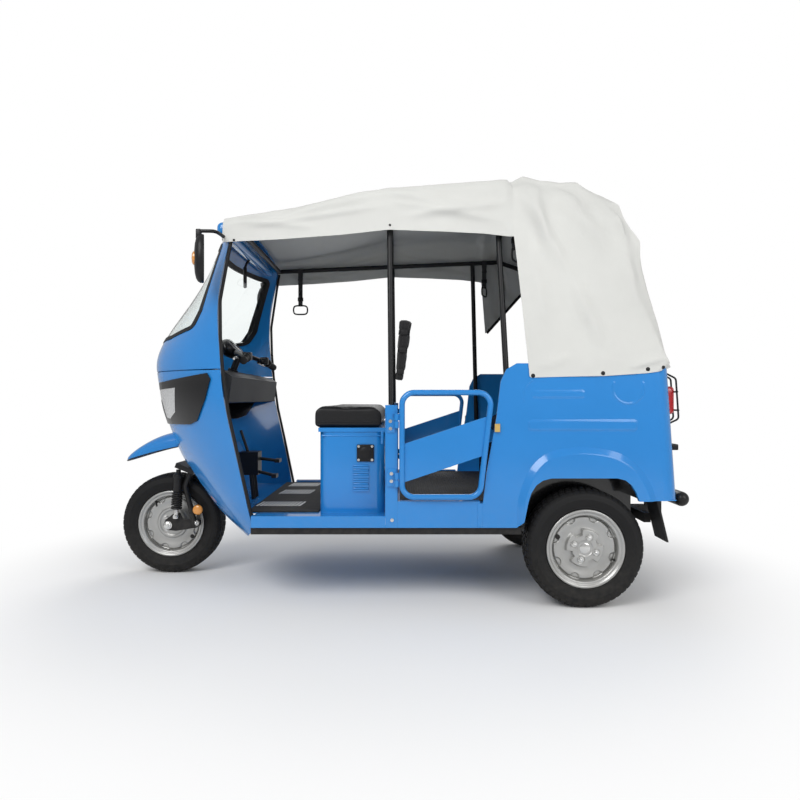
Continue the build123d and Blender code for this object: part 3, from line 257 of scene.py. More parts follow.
def clear_glass(name, tint):
    """Clear glass with a faint tint and a little haze in patches."""
    material, tree = new_material(name)
    out = add_node(tree, "ShaderNodeOutputMaterial")
    shader = add_node(tree, "ShaderNodeBsdfPrincipled", Base_Color=(*tint, 1), IOR=1.3, Transmission_Weight=1.0)
    haze = map_range(tree, noise_field(tree, 9.0, 3.0), 0.45, 0.8, 0.0, GLASS_HAZE)
    tree.links.new(haze, shader.inputs["Roughness"])
    tree.links.new(shader.outputs[0], out.inputs["Surface"])
    return material


BODY_BLUE = (0.016, 0.205, 0.56)
BODY_PAINT = {"coat": 0.6, "specular": 0.3, "cloud": 0.03, "dust": 0.10, "dust_top": 0.5, "grain": 240.0,
              "depth": 0.0001, "bump": 0.05}
# Painted shade: the tub's wheel houses and low inside are painted black in this region: half width, top, middle X,
# half length.
TUB_PAINTED_SHADE = (0.5985, 0.62, -0.865, 0.305)
SATIN_BLACK = (0.010, 0.010, 0.011)
DEEP_BLACK = (0.009, 0.009, 0.010)
finishes = {
    "body_blue": surface("blue enamel", BODY_BLUE, 0.20, **BODY_PAINT),
    "frame_black": surface("satin black paint", SATIN_BLACK, 0.4, coat=0.05, dust=0.2, specular=0.25),
    "wheel_silver": surface("silver wheel paint", (0.42, 0.42, 0.41), 0.32, metallic=0.75, dust=0.35,
                            dust_top=0.3, grain=1400.0, bump=0.2),
    "tyre_black": surface("tyre rubber", (0.009, 0.009, 0.0095), 0.62, dust=0.25, specular=0.22, dust_top=0.35,
                          grain=700.0, depth=0.0003, bump=0.4, dust_colour=(0.11, 0.10, 0.085, 1)),
    "trim_rubber": surface("black trim rubber", SATIN_BLACK, 0.5, dust=0.2, dust_top=0.45, bump=0.3,
                           specular=0.25),
    "mat_rubber": surface("floor rubber", (0.014, 0.014, 0.015), 0.7, specular=0.2, dust=0.25, dust_top=0.7,
                          grain=400.0, depth=0.0005, bump=0.5),
    "canvas": surface("ivory canvas", (0.575, 0.578, 0.555), 0.72, cloud=0.04, dust=0.0, grain=900.0,
                      depth=0.0004, bump=0.35, sheen=0.15),
    "curtain": surface("rolled black cloth", SATIN_BLACK, 0.8, specular=0.2, dust=0.0, grain=500.0, depth=0.0006,
                       bump=0.5, sheen=0.3),
    "seat_vinyl": surface("black seat vinyl", DEEP_BLACK, 0.42, specular=0.28, dust=0.0, grain=300.0, cells=0.8,
                          cell_scale=420.0, depth=0.0005, bump=0.5),
    "windscreen": clear_glass("windscreen glass", (0.93, 0.97, 0.96)),
    "lamp_lens": surface("silvered lamp lens", (0.62, 0.63, 0.64), 0.16, metallic=0.5, coat=1.0, dust=0.0,
                         grain=60.0, cells=0.7, cell_scale=70.0, depth=0.004, bump=0.6),
    "lamp_black": surface("black lamp housing", (0.008, 0.008, 0.009), 0.16, coat=0.3, specular=0.25, dust=0.05,
                          bump=0.05),
    "dash_grey": surface("grained dash moulding", (0.026, 0.028, 0.031), 0.55, specular=0.25, dust=0.1,
                         dust_top=1.2, grain=500.0, cells=0.6, cell_scale=600.0, depth=0.0004, bump=0.5),
    "lamp_red": surface("red lamp lens", (0.5, 0.012, 0.018), 0.12, coat=0.6, dust=0.05, bump=0.1),
    "axle_steel": surface("dark axle steel", (0.045, 0.045, 0.047), 0.5, metallic=0.3, dust=0.6, grain=300.0,
                          depth=0.0005, bump=0.5),
    "cover_black": surface("black moulded cover", DEEP_BLACK, 0.38, specular=0.25, dust=0.1, grain=700.0,
                           bump=0.3),
    "latch_brass": surface("yellow passivated latch", (0.75, 0.52, 0.18), 0.32, metallic=0.9, dust=0.1,
                           bump=0.2),
    "battery_case": surface("battery casing", (0.05, 0.05, 0.06), 0.5, bump=0.3),
}
# The rear body's blue, with black painted shade in its wheel houses and low inside.
tub_blue_painted_shade = surface("blue enamel with undercoat", BODY_BLUE, 0.20, **BODY_PAINT, undercoat=TUB_PAINTED_SHADE)
bright_steel = surface("bright plated steel", (0.66, 0.66, 0.65), 0.22, metallic=1.0, dust=0.15, bump=0.05)
# Grip bars: bright metal strips whose near-white colour is painted reflection.
grip_bar_painted_reflection = surface("grip bar with painted reflection", (0.80, 0.80, 0.78), 0.38, metallic=0.2, dust=0.1, dust_top=0.7, bump=0.3)
amber_lens = surface("amber lens", (0.72, 0.30, 0.06), 0.12, coat=0.6, dust=0.0, bump=0.1)
webbing = surface("black webbing", (0.02, 0.02, 0.022), 0.75, dust=0.0, grain=900.0, cells=0.7,
                  cell_scale=900.0, depth=0.0005, bump=0.7, sheen=0.2)
silvered_glass = surface("mirror glass", (0.72, 0.74, 0.76), 0.04, metallic=1.0, dust=0.0, cloud=0.02, bump=0.0)


def paint_nodes():
    """Gives each CAD node the finish of its slot."""
    for item in frame["record"]["subparts"]:
        mesh = nodes[item["node"]].data
        # The rear body takes the blue with black painted shade in its wheel houses.
        finish = tub_blue_painted_shade if item["node"] == "rear_body" else finishes[item["material_slot"]]
        if mesh.materials:
            for index in range(len(mesh.materials)):
                mesh.materials[index] = finish
        else:
            mesh.materials.append(finish)


paint_nodes()


# The floor and the light.

FLOOR_SIZE = 40
FLOOR_GREY = (0.86, 0.86, 0.86, 1)
WHITE = (1, 1, 1, 1)
# From the first to the second distance the floor fades to white before the camera.
FLOOR_FADE = (1.3, 2.3)
WORLD_GLOW = 0.50
# Name, place, target, size, power.
LAMPS = [
    ("key", (2.5, 4.5, 4.5), (0, 0, 0.8), 3.0, 200),
    ("side", (-3.5, 4.0, 3.0), (0, 0, 0.8), 3.0, 95),
    ("rear", (-1.0, -4.5, 4.0), (0, 0, 0.9), 3.5, 90),
]


def seen_by_camera(tree):
    """1 for rays from the camera, also through glass."""
    path = add_node(tree, "ShaderNodeLightPath").outputs
    return calc(tree, "MAXIMUM", path["Is Camera Ray"], path["Is Transmission Ray"])


def blend_shaders(tree, share, first, second, out):
    """Mixes two shaders into an output node."""
    blend = add_node(tree, "ShaderNodeMixShader")
    tree.links.new(share, blend.inputs[0])
    tree.links.new(first.outputs[0], blend.inputs[1])
    tree.links.new(second.outputs[0], blend.inputs[2])
    tree.links.new(blend.outputs[0], out.inputs["Surface"])


def make_floor():
    """A pale floor that keeps the object's shadow, white to the camera further out."""
    mesh = bpy.data.meshes.new("floor")
    shape = bmesh.new()
    bmesh.ops.create_grid(shape, x_segments=1, y_segments=1, size=FLOOR_SIZE)
    shape.to_mesh(mesh)
    shape.free()
    floor = bpy.data.objects.new("floor", mesh)
    scene.collection.objects.link(floor)
    material, tree = new_material("pale floor")
    out = add_node(tree, "ShaderNodeOutputMaterial")
    matt = add_node(tree, "ShaderNodeBsdfDiffuse", Color=FLOOR_GREY)
    plain = add_node(tree, "ShaderNodeEmission", Color=WHITE, Strength=1.0)
    distance = add_node(tree, "ShaderNodeVectorMath", operation="LENGTH")
    tree.links.new(object_place(tree), distance.inputs[0])
    reach = map_range(tree, distance.outputs["Value"], *FLOOR_FADE, interpolation_type="SMOOTHSTEP")
    blend_shaders(tree, calc(tree, "MULTIPLY", seen_by_camera(tree), reach), matt, plain, out)
    mesh.materials.append(material)


def make_world():
    """A white backdrop for the camera, with a softer level of light on the object."""
    world = bpy.data.worlds.new("studio")
    scene.world = world
    world.use_nodes = True
    tree = world.node_tree
    tree.nodes.clear()
    out = add_node(tree, "ShaderNodeOutputWorld")
    glow = add_node(tree, "ShaderNodeBackground", Color=WHITE, Strength=WORLD_GLOW)
    white = add_node(tree, "ShaderNodeBackground", Color=WHITE, Strength=1.0)
    blend_shaders(tree, seen_by_camera(tree), glow, white, out)


def make_lamp(name, place, target, size, power):
    """A square studio lamp aimed at a point."""
    data = bpy.data.lights.new(name, "AREA")
    data.size = size
    data.energy = power
    lamp = bpy.data.objects.new(name, data)
    lamp.location = place
    lamp.rotation_euler = (Vector(target) - Vector(place)).to_track_quat("-Z", "Y").to_euler()
    scene.collection.objects.link(lamp)


make_floor()
make_world()
for lamp_row in LAMPS:
    make_lamp(*lamp_row)


# Mesh helpers.

MERGE = 0.00001


def loose_piece(shape, name, finish, sharp=40):
    """A bmesh as an object that rides on nothing yet."""
    mesh = bpy.data.meshes.new(name)
    shape.to_mesh(mesh)
    shape.free()
    mesh.materials.append(finish)
    piece = bpy.data.objects.new(name, mesh)
    scene.collection.objects.link(piece)
    mesh.shade_smooth()
    mesh.set_sharp_from_angle(angle=math.radians(sharp))
    return piece


def mount(piece, body, stands_for=()):
    """A loose piece rides on a body and takes the place of CAD nodes."""
    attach(piece, body)
    if stands_for:
        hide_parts(*stands_for)


def finish_piece(shape, name, finish, body, sharp=40, stands_for=()):
    """Turns a bmesh into a finished piece that rides on a body."""
    bmesh.ops.recalc_face_normals(shape, faces=shape.faces)
    piece = loose_piece(shape, name, finish, sharp)
    mount(piece, body, stands_for)
    return piece


def absorb(shape, single):
    """Adds one bmesh to another and frees it."""
    mesh = bpy.data.meshes.new("single")
    single.to_mesh(mesh)
    single.free()
    shape.from_mesh(mesh)
    bpy.data.meshes.remove(mesh)


def new_points(made):
    """The vertices in what an operator made."""
    return [item for item in made["geom"] if isinstance(item, bmesh.types.BMVert)]


def lathe(shape, profile, centre, steps, axis=None, closed=False):
    """Spins a profile of (radius, along) about an axis through the centre: Y where none is given."""
    turn = Vector((0, 1, 0)) if axis is None else Vector(axis).normalized()
    out = Vector((1, 0, 0)) if axis is None else turn.orthogonal().normalized()
    centre = Vector(centre)
    points = [shape.verts.new(centre + out * radius + turn * along) for radius, along in profile]
    lines = [shape.edges.new(pair) for pair in zip(points, points[1:])]
    if closed:
        lines.append(shape.edges.new((points[-1], points[0])))
    bmesh.ops.spin(
        shape, geom=points + lines, cent=centre, axis=turn, dvec=(0, 0, 0), angle=math.tau, steps=steps,
        use_merge=True, use_duplicate=False,
    )
    bmesh.ops.remove_doubles(shape, verts=shape.verts, dist=MERGE)


def tube(name, points, radius, finish, body, closed=False, smooth=False, sides=5, stands_for=()):
    """A round bar along points, as a curve with a round section."""
    data = bpy.data.curves.new(name, "CURVE")
    data.dimensions = "3D"
    data.bevel_depth = radius
    data.bevel_resolution = sides
    data.use_fill_caps = True
    line = data.splines.new("NURBS" if smooth else "POLY")
    line.points.add(len(points) - 1)
    for point, place in zip(line.points, points):
        point.co = (*place, 1)
    line.use_cyclic_u = closed
    if smooth:
        line.use_endpoint_u = not closed
        line.order_u = 3
        line.resolution_u = 10
    data.materials.append(finish)
    piece = bpy.data.objects.new(name, data)
    scene.collection.objects.link(piece)
    mount(piece, body, stands_for)


def slab(shape, low, high, edge=0.002, segments=2, turn=None):
    """A block with rounded edges between two corners."""
    low, high = Vector(low), Vector(high)
    place = Matrix.Translation((low + high) / 2) @ Matrix.Diagonal((*(high - low), 1))
    made = bmesh.ops.create_cube(shape, size=1, matrix=place)["verts"]
    lines = list({line for point in made for line in point.link_edges})
    made = bmesh.ops.bevel(
        shape, geom=lines, offset=edge, offset_type="OFFSET", affect="EDGES", segments=segments, profile=0.5,
        material=-1,
    )["verts"] + [point for point in made if point.is_valid]
    if turn is not None:
        bmesh.ops.transform(shape, matrix=turn, verts=list(set(made)))
    return set(made)


def skin(shape, rows):
    """Faces between rows of vertices, each row as long as the next."""
    for before, after in zip(rows, rows[1:]):
        for corners in zip(before, before[1:], after[1:], after):
            shape.faces.new(corners)


def ease(value, low, high):
    """A smooth step from 0 to 1 between two values."""
    share = min(max((value - low) / (high - low), 0.0), 1.0)
    return share * share * (3 - 2 * share)


def along_line(points, share):
    """The point a share of the way along a polyline."""
    lengths = [(b - a).length for a, b in zip(points, points[1:])]
    want = share * sum(lengths)
    for (start, end), length in zip(zip(points, points[1:]), lengths):
        if want <= length or end is points[-1]:
            return start.lerp(end, min(want / length, 1.0) if length else 0.0)
        want -= length


def read_table(table, value):
    """Straight-line reading of a table of (key, result) pairs in rising key order."""
    if value <= table[0][0]:
        return table[0][1]
    for (low, a), (high, b) in zip(table, table[1:]):
        if value <= high:
            return a + (b - a) * (value - low) / (high - low)
    return table[-1][1]


# The canvas roof: one sheet over the bows, down the sides of the tub and down the back.

ROOF_FRONT_X = 0.694
HOOD_FRONT_X = -0.566
# X, height of the hanging edge, shoulder height, crown height.
ROOF_STATIONS = [
    (ROOF_FRONT_X, 1.566, 1.684, 1.702), (0.45, 1.578, 1.722, 1.742), (0.20, 1.596, 1.768, 1.790),
    (-0.024, 1.620, 1.820, 1.846), (-0.25, 1.612, 1.832, 1.856), (-0.44, 1.603, 1.848, 1.870),
    (HOOD_FRONT_X, 1.588, 1.860, 1.884),
]
# Half widths of the front roof, from the hem over the bend to the shoulder.
HEM_Y, BEND_Y, SHOULDER_Y = 0.536, (0.531, 0.512), 0.480
BEND_DROP = (0.040, 0.012)
# The line (X, Z) of the hood's upper edge in side view, from the last bow down the back.
HOOD_EDGE = [
    (-0.566, 1.856), (-0.628, 1.892), (-0.70, 1.868), (-0.79, 1.857), (-0.866, 1.862), (-0.905, 1.820),
    (-0.948, 1.788), (-1.000, 1.764), (-1.042, 1.746), (-1.062, 1.684), (-1.090, 1.628), (-1.124, 1.580),
    (-1.124, 1.510), (-1.128, 1.440), (-1.142, 1.370), (-1.162, 1.300), (-1.182, 1.220), (-1.198, 1.140),
    (-1.212, 1.080), (-1.232, 1.022),
]
# The line (X, Z) of its lower edge: down the front, then back along the tub.
HOOD_HEM = [
    (-0.566, 1.588), (-0.594, 1.290), (-0.622, 0.977), (-0.760, 0.981), (-0.940, 0.984), (-1.120, 0.996),
    (-1.2, 1.008),
]
# Height, half width of the hood there.
SIDE_WIDTH = [
    (0.98, 0.6035), (1.05, 0.6030), (1.30, 0.578), (1.56, 0.550), (1.64, 0.540), (1.775, 0.512), (1.89, 0.468),
]
CORNER_INSET = 0.035
BACK_SHARE = 0.98
# Soft folds on the sides: from (X, Z), to (X, Z), half width, height.
FOLDS = [
    ((-0.60, 1.80), (-0.80, 1.42), 0.030, 0.011), ((-0.80, 1.42), (-0.93, 1.12), 0.028, 0.009),
    ((-0.66, 1.84), (-0.70, 1.50), 0.024, 0.008), ((-0.90, 1.80), (-1.06, 1.55), 0.020, 0.008),
    ((-0.95, 1.79), (-1.09, 1.50), 0.016, 0.006), ((-1.00, 1.74), (-1.08, 1.30), 0.022, 0.006),
    ((-0.74, 1.84), (-0.98, 1.52), 0.026, 0.007), ((-0.62, 1.62), (-0.70, 1.20), 0.040, 0.006),
    ((-0.024, 1.79), (-0.40, 1.70), 0.018, 0.006), ((-0.06, 1.74), (-0.50, 1.66), 0.016, 0.005),
    ((0.02, 1.79), (0.40, 1.69), 0.020, 0.006), ((0.02, 1.72), (0.55, 1.64), 0.014, 0.004),
    ((-0.10, 1.68), (-0.54, 1.74), 0.018, 0.005), ((0.62, 1.66), (0.30, 1.63), 0.016, 0.004),
    ((-1.19, 1.06), (-1.05, 1.02), 0.012, 0.004), ((-0.64, 1.02), (-0.80, 1.06), 0.014, 0.003),
]
FOLD_GAIN = 2.3
# The right side's folds lie this far from the left side's, in X and Z.
FOLD_OFFSET = (0.03, 0.02)
# The bows' X, and how far the canvas sags between them.
BOWS = (0.642, -0.024, -0.66)
BOW_SAG = 0.009
# Wrinkles: how many to a metre, and their height.
WRINKLES = ((5, 0.0035), (22, 0.0012))
# Pleats that fan out from the last bow: from where, how many in a radian, and their height.
FAN_X, FAN_Z, FAN_COUNT, FAN_HEIGHT = -0.60, 1.90, 26, 0.0022
SURFACE_LIFT = 0.001
# On the right side the hood's front is cut back to this X, below a line through these two places.
CUT_BACK_X = -0.865
CUT_LOW, CUT_HIGH = Vector((-0.566, 0, 1.2525)), Vector((-0.880, 0, 1.604))
FRONT_STEPS, REAR_STEPS = 64, 96
SIDE_ROWS, TOP_ROWS = 30, 18
CANVAS_THICK = 0.0022
CROWN_SWELL = 0.006


def fold_height(x, z):
    """How far the soft folds stand out at a place on the side."""
    total = 0.0
    here = Vector((x, z))
    for start, end, half, height in FOLDS:
        start, end = Vector(start), Vector(end)
        line = end - start
        share = (here - start).dot(line) / line.length_squared
        ends = ease(share, -0.15, 0.3) * (1 - ease(share, 0.7, 1.15))
        gap = (here - start - line * share).length / half
        total += height * ends * math.exp(-gap * gap)
    return total


def roof_row(share, edge, shoulder, crown):
    """A place (Y, Z) across one half of the front roof, from the hem (0) to the crown (1)."""
    bend = [Vector((y, shoulder - drop)) for y, drop in zip(BEND_Y, BEND_DROP)]
    side_line = [Vector((HEM_Y, edge)), *bend, Vector((SHOULDER_Y, shoulder))]
    side_share = SIDE_ROWS / (SIDE_ROWS + TOP_ROWS)
    if share <= side_share:
        return along_line(side_line, share / side_share)
    t = (share - side_share) / (1 - side_share)
    y = SHOULDER_Y * (1 - t)
    return Vector((y, shoulder + (crown - shoulder) * (1 - (y / SHOULDER_Y) ** 2)))


def roof_columns():
    """Columns of places over the cabin, each from the left hem to the crown."""
    levels = [[(-station[0], station[i]) for station in ROOF_STATIONS] for i in (1, 2, 3)]
    rows = SIDE_ROWS + TOP_ROWS
    columns = []
    for step in range(FRONT_STEPS):
        x = ROOF_FRONT_X + (HOOD_FRONT_X - ROOF_FRONT_X) * step / FRONT_STEPS
        values = [read_table(level, -x) for level in levels]
        columns.append([Vector((x, *roof_row(row / rows, *values))) for row in range(rows + 1)])
    return columns


def hood_columns():
    """Columns of places over the tub, each from the hem up the left side and across to the middle."""
    edge_line = [Vector(place) for place in HOOD_EDGE]
    hem_line = [Vector(place) for place in HOOD_HEM]
    columns = []
    for step in range(REAR_STEPS + 1):
        t = step / REAR_STEPS
        edge, hem = along_line(edge_line, t), along_line(hem_line, t)
        ahead = along_line(edge_line, min(t + 0.03, 1.0)) - along_line(edge_line, max(t - 0.03, 0.0))
        out = Vector((-ahead.y, ahead.x)).normalized()
        if out.y < 0 and t < 0.3 or out.x > 0.2:
            out = -out
        corner_y = read_table(SIDE_WIDTH, edge.y) - CORNER_INSET
        column = []
        for row in range(SIDE_ROWS + 1):
            share = row / SIDE_ROWS
            place = hem.lerp(edge, share)
            wide = read_table(SIDE_WIDTH, place.y)
            wide += (corner_y - wide) * ease(share, 0.80, 1.0)
            if t > BACK_SHARE:
                wide = min(wide, corner_y)
            column.append(Vector((place.x, wide, place.y)))
        for row in range(1, TOP_ROWS + 1):
            share = row / TOP_ROWS
            place = edge + out * ((1 - (1 - share) ** 2) * CROWN_SWELL)
            column.append(Vector((place.x, corner_y * (1 - share), place.y)))
        columns.append(column)
    return columns


def canvas_lift(place):
    """How far the canvas stands out from its drawn form: folds, sag between bows, wrinkles and pleats."""
    x, y, z = place
    side = ease(abs(y), 0.40, 0.50)
    folds = fold_height(x, z) if y > 0 else fold_height(x + FOLD_OFFSET[0], z + FOLD_OFFSET[1])
    lift = FOLD_GAIN * side * folds
    if x > BOWS[-1]:
        top = ease(z, 1.60, 1.72) * (1 - side)
        lift -= BOW_SAG * top * ease(min(abs(x - bow) for bow in BOWS), 0.03, 0.28)
    for count, height in WRINKLES:
        lift += height * noise.noise(place * count)
    fan = math.sin(math.atan2(z - FAN_Z, x - FAN_X) * FAN_COUNT) * FAN_HEIGHT
    lift += fan * side * ease(-x, 0.62, 0.78) * ease(z, 1.25, 1.5)
    return lift + SURFACE_LIFT


def cut_right_side(shape):
    """Cuts the right side's front back along a slant."""
    slope = (CUT_HIGH - CUT_LOW).normalized()
    slant = (CUT_LOW, Vector((-slope.z, 0, slope.x)))
    upright = (Vector((CUT_BACK_X, 0, 0)), Vector((1, 0, 0)))
    for place, normal in (slant, upright):
        everything = list(shape.verts) + list(shape.edges) + list(shape.faces)
        bmesh.ops.bisect_plane(shape, geom=everything, dist=MERGE, plane_co=place, plane_no=normal)
    away = []
    for face in shape.faces:
        x, y, z = face.calc_center_median()
        line = CUT_LOW.z + (x - CUT_LOW.x) * slope.z / slope.x
        if y < -0.3 and CUT_BACK_X < x < HOOD_FRONT_X + 0.001 and z < line:
            away.append(face)
    bmesh.ops.delete(shape, geom=away, context="FACES")


def make_canopy():
    """The canvas roof as one sheet, with sag between the bows and soft folds."""
    shape = bmesh.new()
    grid = []
    for column in roof_columns() + hood_columns():
        left = [shape.verts.new(place) for place in column]
        right = [shape.verts.new((place.x, -place.y, place.z)) for place in reversed(column[:-1])]
        grid.append(left + right)
    skin(shape, grid)
    inner = [point for point in shape.verts if not point.is_boundary]
    bmesh.ops.smooth_vert(shape, verts=inner, factor=0.5, use_axis_x=True, use_axis_y=True, use_axis_z=True)
    bmesh.ops.recalc_face_normals(shape, faces=shape.faces)
    shape.normal_update()
    moves = [point.normal * canvas_lift(point.co) for point in shape.verts]
    for point, move in zip(shape.verts, moves):
        point.co += move
    outward = sum(face.normal.y * face.calc_center_median().y for face in shape.faces)
    if outward < 0:
        bmesh.ops.reverse_faces(shape, faces=shape.faces)
    cut_right_side(shape)
    bmesh.ops.solidify(shape, geom=list(shape.faces), thickness=CANVAS_THICK)
    piece = finish_piece(shape, "canvas_roof", finishes["canvas"], "chassis", sharp=60,
                         stands_for=("canopy",))
    return piece


canvas = make_canopy()
HOOD_STRUT = [(-0.600, -0.546, 1.284), (-0.740, -0.534, 1.441), (-0.872, -0.520, 1.589)]
tube("hood_strut", HOOD_STRUT, 0.0085, finishes["frame_black"], "chassis", smooth=True)


# Wheels and tyres.

# Radius, half width.
TYRE_HALF_PROFILE = [
    (0.1650, 0.0500), (0.1672, 0.0560), (0.1700, 0.0588), (0.1740, 0.0606), (0.1765, 0.0600), (0.1850, 0.0640),
    (0.1960, 0.0676), (0.2070, 0.0694), (0.2090, 0.0704), (0.2110, 0.0704), (0.2130, 0.0694), (0.2220, 0.0684),
    (0.2310, 0.0652), (0.2330, 0.0640), (0.2410, 0.0570), (0.2452, 0.0500), (0.2462, 0.0440), (0.2470, 0.0400),
    (0.2474, 0.0300), (0.2476, 0.0240), (0.2478, 0.0140), (0.2480, 0.0085),
]
# Bands of tread blocks: from Y, to Y, how far the blocks stand out.
TREAD_BANDS = [(0.0440, 0.0640, 0.0026), (0.0240, 0.0400, 0.0044), (-0.0085, 0.0085, 0.0044)]
TREAD_RADIUS = 0.2325
# Every so many steps round the tyre, one is a groove.
TREAD_PITCH = 4
WHEEL_STEPS = 216


def tread_faces(shape, centre, low, high):
    """The carcass faces under the blocks of one band, on both sides where it isn't the middle one."""
    picked = []
    for face in shape.faces:
        middle = face.calc_center_median() - centre
        in_band = low <= abs(middle.y) <= high or low <= middle.y <= high
        if math.hypot(middle.x, middle.z) < TREAD_RADIUS or not in_band:
            continue
        turn = int(math.atan2(middle.z, middle.x) / math.tau * WHEEL_STEPS + WHEEL_STEPS * 2)
        shift = 1 if low < 0 else 2 if middle.y > 0 else 0
        if (turn + shift) % TREAD_PITCH:
            picked.append(face)
    return picked


def make_tyre(name, centre, node, body):
    """A tyre carcass with raised tread blocks and shoulder sipes."""
    shape = bmesh.new()
    profile = TYRE_HALF_PROFILE + [(r, -y) for r, y in reversed(TYRE_HALF_PROFILE)]
    lathe(shape, profile, centre, WHEEL_STEPS)
    bmesh.ops.recalc_face_normals(shape, faces=shape.faces)
    centre = Vector(centre)
    for low, high, rise in TREAD_BANDS:
        picked = tread_faces(shape, centre, low, high)
        for point in new_points(bmesh.ops.extrude_face_region(shape, geom=picked)):
            away = point.co - centre
            spoke = Vector((away.x, 0, away.z)).normalized()
            lean = max(abs(away.y) - 0.05, 0) * 20
            point.co += (spoke + Vector((0, math.copysign(lean, away.y), 0))).normalized() * rise
        bmesh.ops.delete(shape, geom=picked, context="FACES")
    finish_piece(shape, name, finishes["tyre_black"], body, sharp=28, stands_for=(node,))


# Radius, Y.
RIM_LOOP = [
    (0.1660, 0.0560), (0.1672, 0.0590), (0.1660, 0.0618), (0.1635, 0.0634), (0.1600, 0.0632), (0.1560, 0.0612),
    (0.1528, 0.0572), (0.1500, 0.0552), (0.1462, 0.0556), (0.1430, 0.0548), (0.1404, 0.0514), (0.1388, 0.0440),
    (0.1380, 0.0300), (0.1376, 0.0000), (0.1380, -0.0380), (0.1500, -0.0540), (0.1580, -0.0600), (0.1625, -0.0620),
    (0.1660, -0.0600), (0.1664, -0.0560), (0.1600, -0.0530), (0.1440, -0.0380), (0.1430, 0.0000), (0.1440, 0.0360),
    (0.1600, 0.0530),
]
PETAL_TURNS = (21, 111, 201, 291)
LOBE_TURNS = [18 + 45 * i for i in range(8)]
HUB_BORE, HUB_RADIUS, HUB_HALF = 0.0146, 0.032, 0.0300
DISC_RADIUS, DISC_Y, DISC_THICK = 0.1384, 0.0305, 0.0035
DISC_RINGS, DISC_STEPS = 62, 288
# A wheel with petals (rear) and one without (front): the nuts' turns, pitch radius, Y, size and depth,
# then the turns of the balance mark and of the valve.
NUT_ROWS = {
    True: (PETAL_TURNS, 0.05, 0.0475, 0.0095, 0.011),
    False: ((40, 130, 220, 310), 0.045, 0.0340, 0.008, 0.009),
}
MARK_TURNS = {True: (202, 22), False: (35, 232)}
MARK_PITCH, MARK_Y, MARK_RADIUS, MARK_THICK = 0.122, 0.0362, 0.0105, 0.0012
VALVE_PITCH, VALVE_Y = 0.1385, 0.0340
VALVE_STEM = [(0, 0), (0.0048, 0), (0.0048, 0.012), (0.0036, 0.014), (0.0036, 0.030), (0.0046, 0.0305),
              (0.0046, 0.040), (0, 0.041)]
HUB_CAP = [(0, 0.0510), (0.018, 0.0505), (0.0225, 0.0485), (0.0225, 0.040), (0, 0.040)]


def gap_to(radius, turn, pitch, middle):
    """The distance from a place on the disc to another at a pitch radius, both by their turns."""
    angle = math.radians(turn - middle)
    return math.hypot(radius * math.cos(angle) - pitch, radius * math.sin(angle))


def hub_height(radius, turn, petals):
    """How far the pressed wheel disc stands out, at a radius and a turn in degrees."""
    height = 0.006 * ease(radius, 0.090, 0.125) - 0.010 * ease(radius, 0.128, 0.1375)
    for lobe in LOBE_TURNS:
        hole = 1 - ease(gap_to(radius, turn, 0.134, lobe), 0.0175, 0.0225)
        height -= 0.0080 * hole * (1 - ease(radius, 0.133, 0.1375))
    if petals:
        near = min(abs((turn - middle + 180) % 360 - 180) for middle in PETAL_TURNS)
        reach = 0.057 + 0.0235 * (1 - ease(near, 27, 33.5))
        height += 0.020 * (1 - ease(radius, reach - 0.003, reach + 0.003))
        height -= 0.0035 * (1 - ease(radius, 0.030, 0.036))
        for middle in PETAL_TURNS:
            height -= 0.003 * (1 - ease(gap_to(radius, turn, 0.0500, middle), 0.0145, 0.0175))
    else:
        height += 0.008 * (1 - ease(radius, 0.074, 0.080)) - 0.004 * (1 - ease(radius, 0.060, 0.066))
    return height


def on_axis(centre, aim, along):
    """A matrix that sets a form's Z on an axis, some way along it."""
    turn = aim.to_track_quat("Z", "X").to_matrix().to_4x4()
    return Matrix.Translation(centre + aim * along) @ turn


def nut(shape, centre, aim, size=0.0095, deep=0.011):
    """A domed wheel nut on a washer."""
    centre, aim = Vector(centre), Vector(aim).normalized()
    for sides, foot, top, thick, along in ((24, 1.35, 1.25, 0.3, 0.15), (6, 1.0, 0.97, 1.0, 0.5)):
        bmesh.ops.create_cone(shape, cap_ends=True, segments=sides, radius1=size * foot, radius2=size * top,
                              depth=deep * thick, matrix=on_axis(centre, aim, deep * along))
    bmesh.ops.create_uvsphere(shape, u_segments=16, v_segments=10, radius=size * 0.62,
                              matrix=on_axis(centre, aim, deep) @ Matrix.Diagonal((1, 1, 0.7, 1)))


def bolt(shape, centre, aim, size=0.006):
    """A low domed bolt head on a washer."""
    centre, aim = Vector(centre), Vector(aim).normalized()
    for sides, foot, top, thick, along in ((20, 1.5, 1.4, 0.4, 0.2), (6, 1.0, 0.9, 1.1, 0.7)):
        bmesh.ops.create_cone(shape, cap_ends=True, segments=sides, radius1=size * foot, radius2=size * top,
                              depth=size * thick, matrix=on_axis(centre, aim, size * along))


def spoke_at(turn, side):
    """A unit spoke at a turn in degrees, as seen from one side of the wheel."""
    angle = math.radians(turn)
    return Vector((-math.cos(angle) * side, 0, -math.sin(angle)))


def make_disc(centre, side, petals):
    """One pressed disc, with its sheet's thickness."""
    disc = bmesh.new()
    rings = [HUB_BORE + (DISC_RADIUS - HUB_BORE) * i / DISC_RINGS for i in range(DISC_RINGS + 1)]
    lathe(disc, [(r, 0) for r in rings], (0, 0, 0), DISC_STEPS)
    for point in disc.verts:
        radius = math.hypot(point.co.x, point.co.z)
        turn = math.degrees(math.atan2(-point.co.z, -point.co.x * side))
        point.co.y = side * (DISC_Y + hub_height(radius, turn, petals))
    for point in new_points(bmesh.ops.extrude_face_region(disc, geom=list(disc.faces))):
        point.co.y -= side * DISC_THICK
    bmesh.ops.recalc_face_normals(disc, faces=disc.faces)
    for point in disc.verts:
        point.co += centre
    return disc


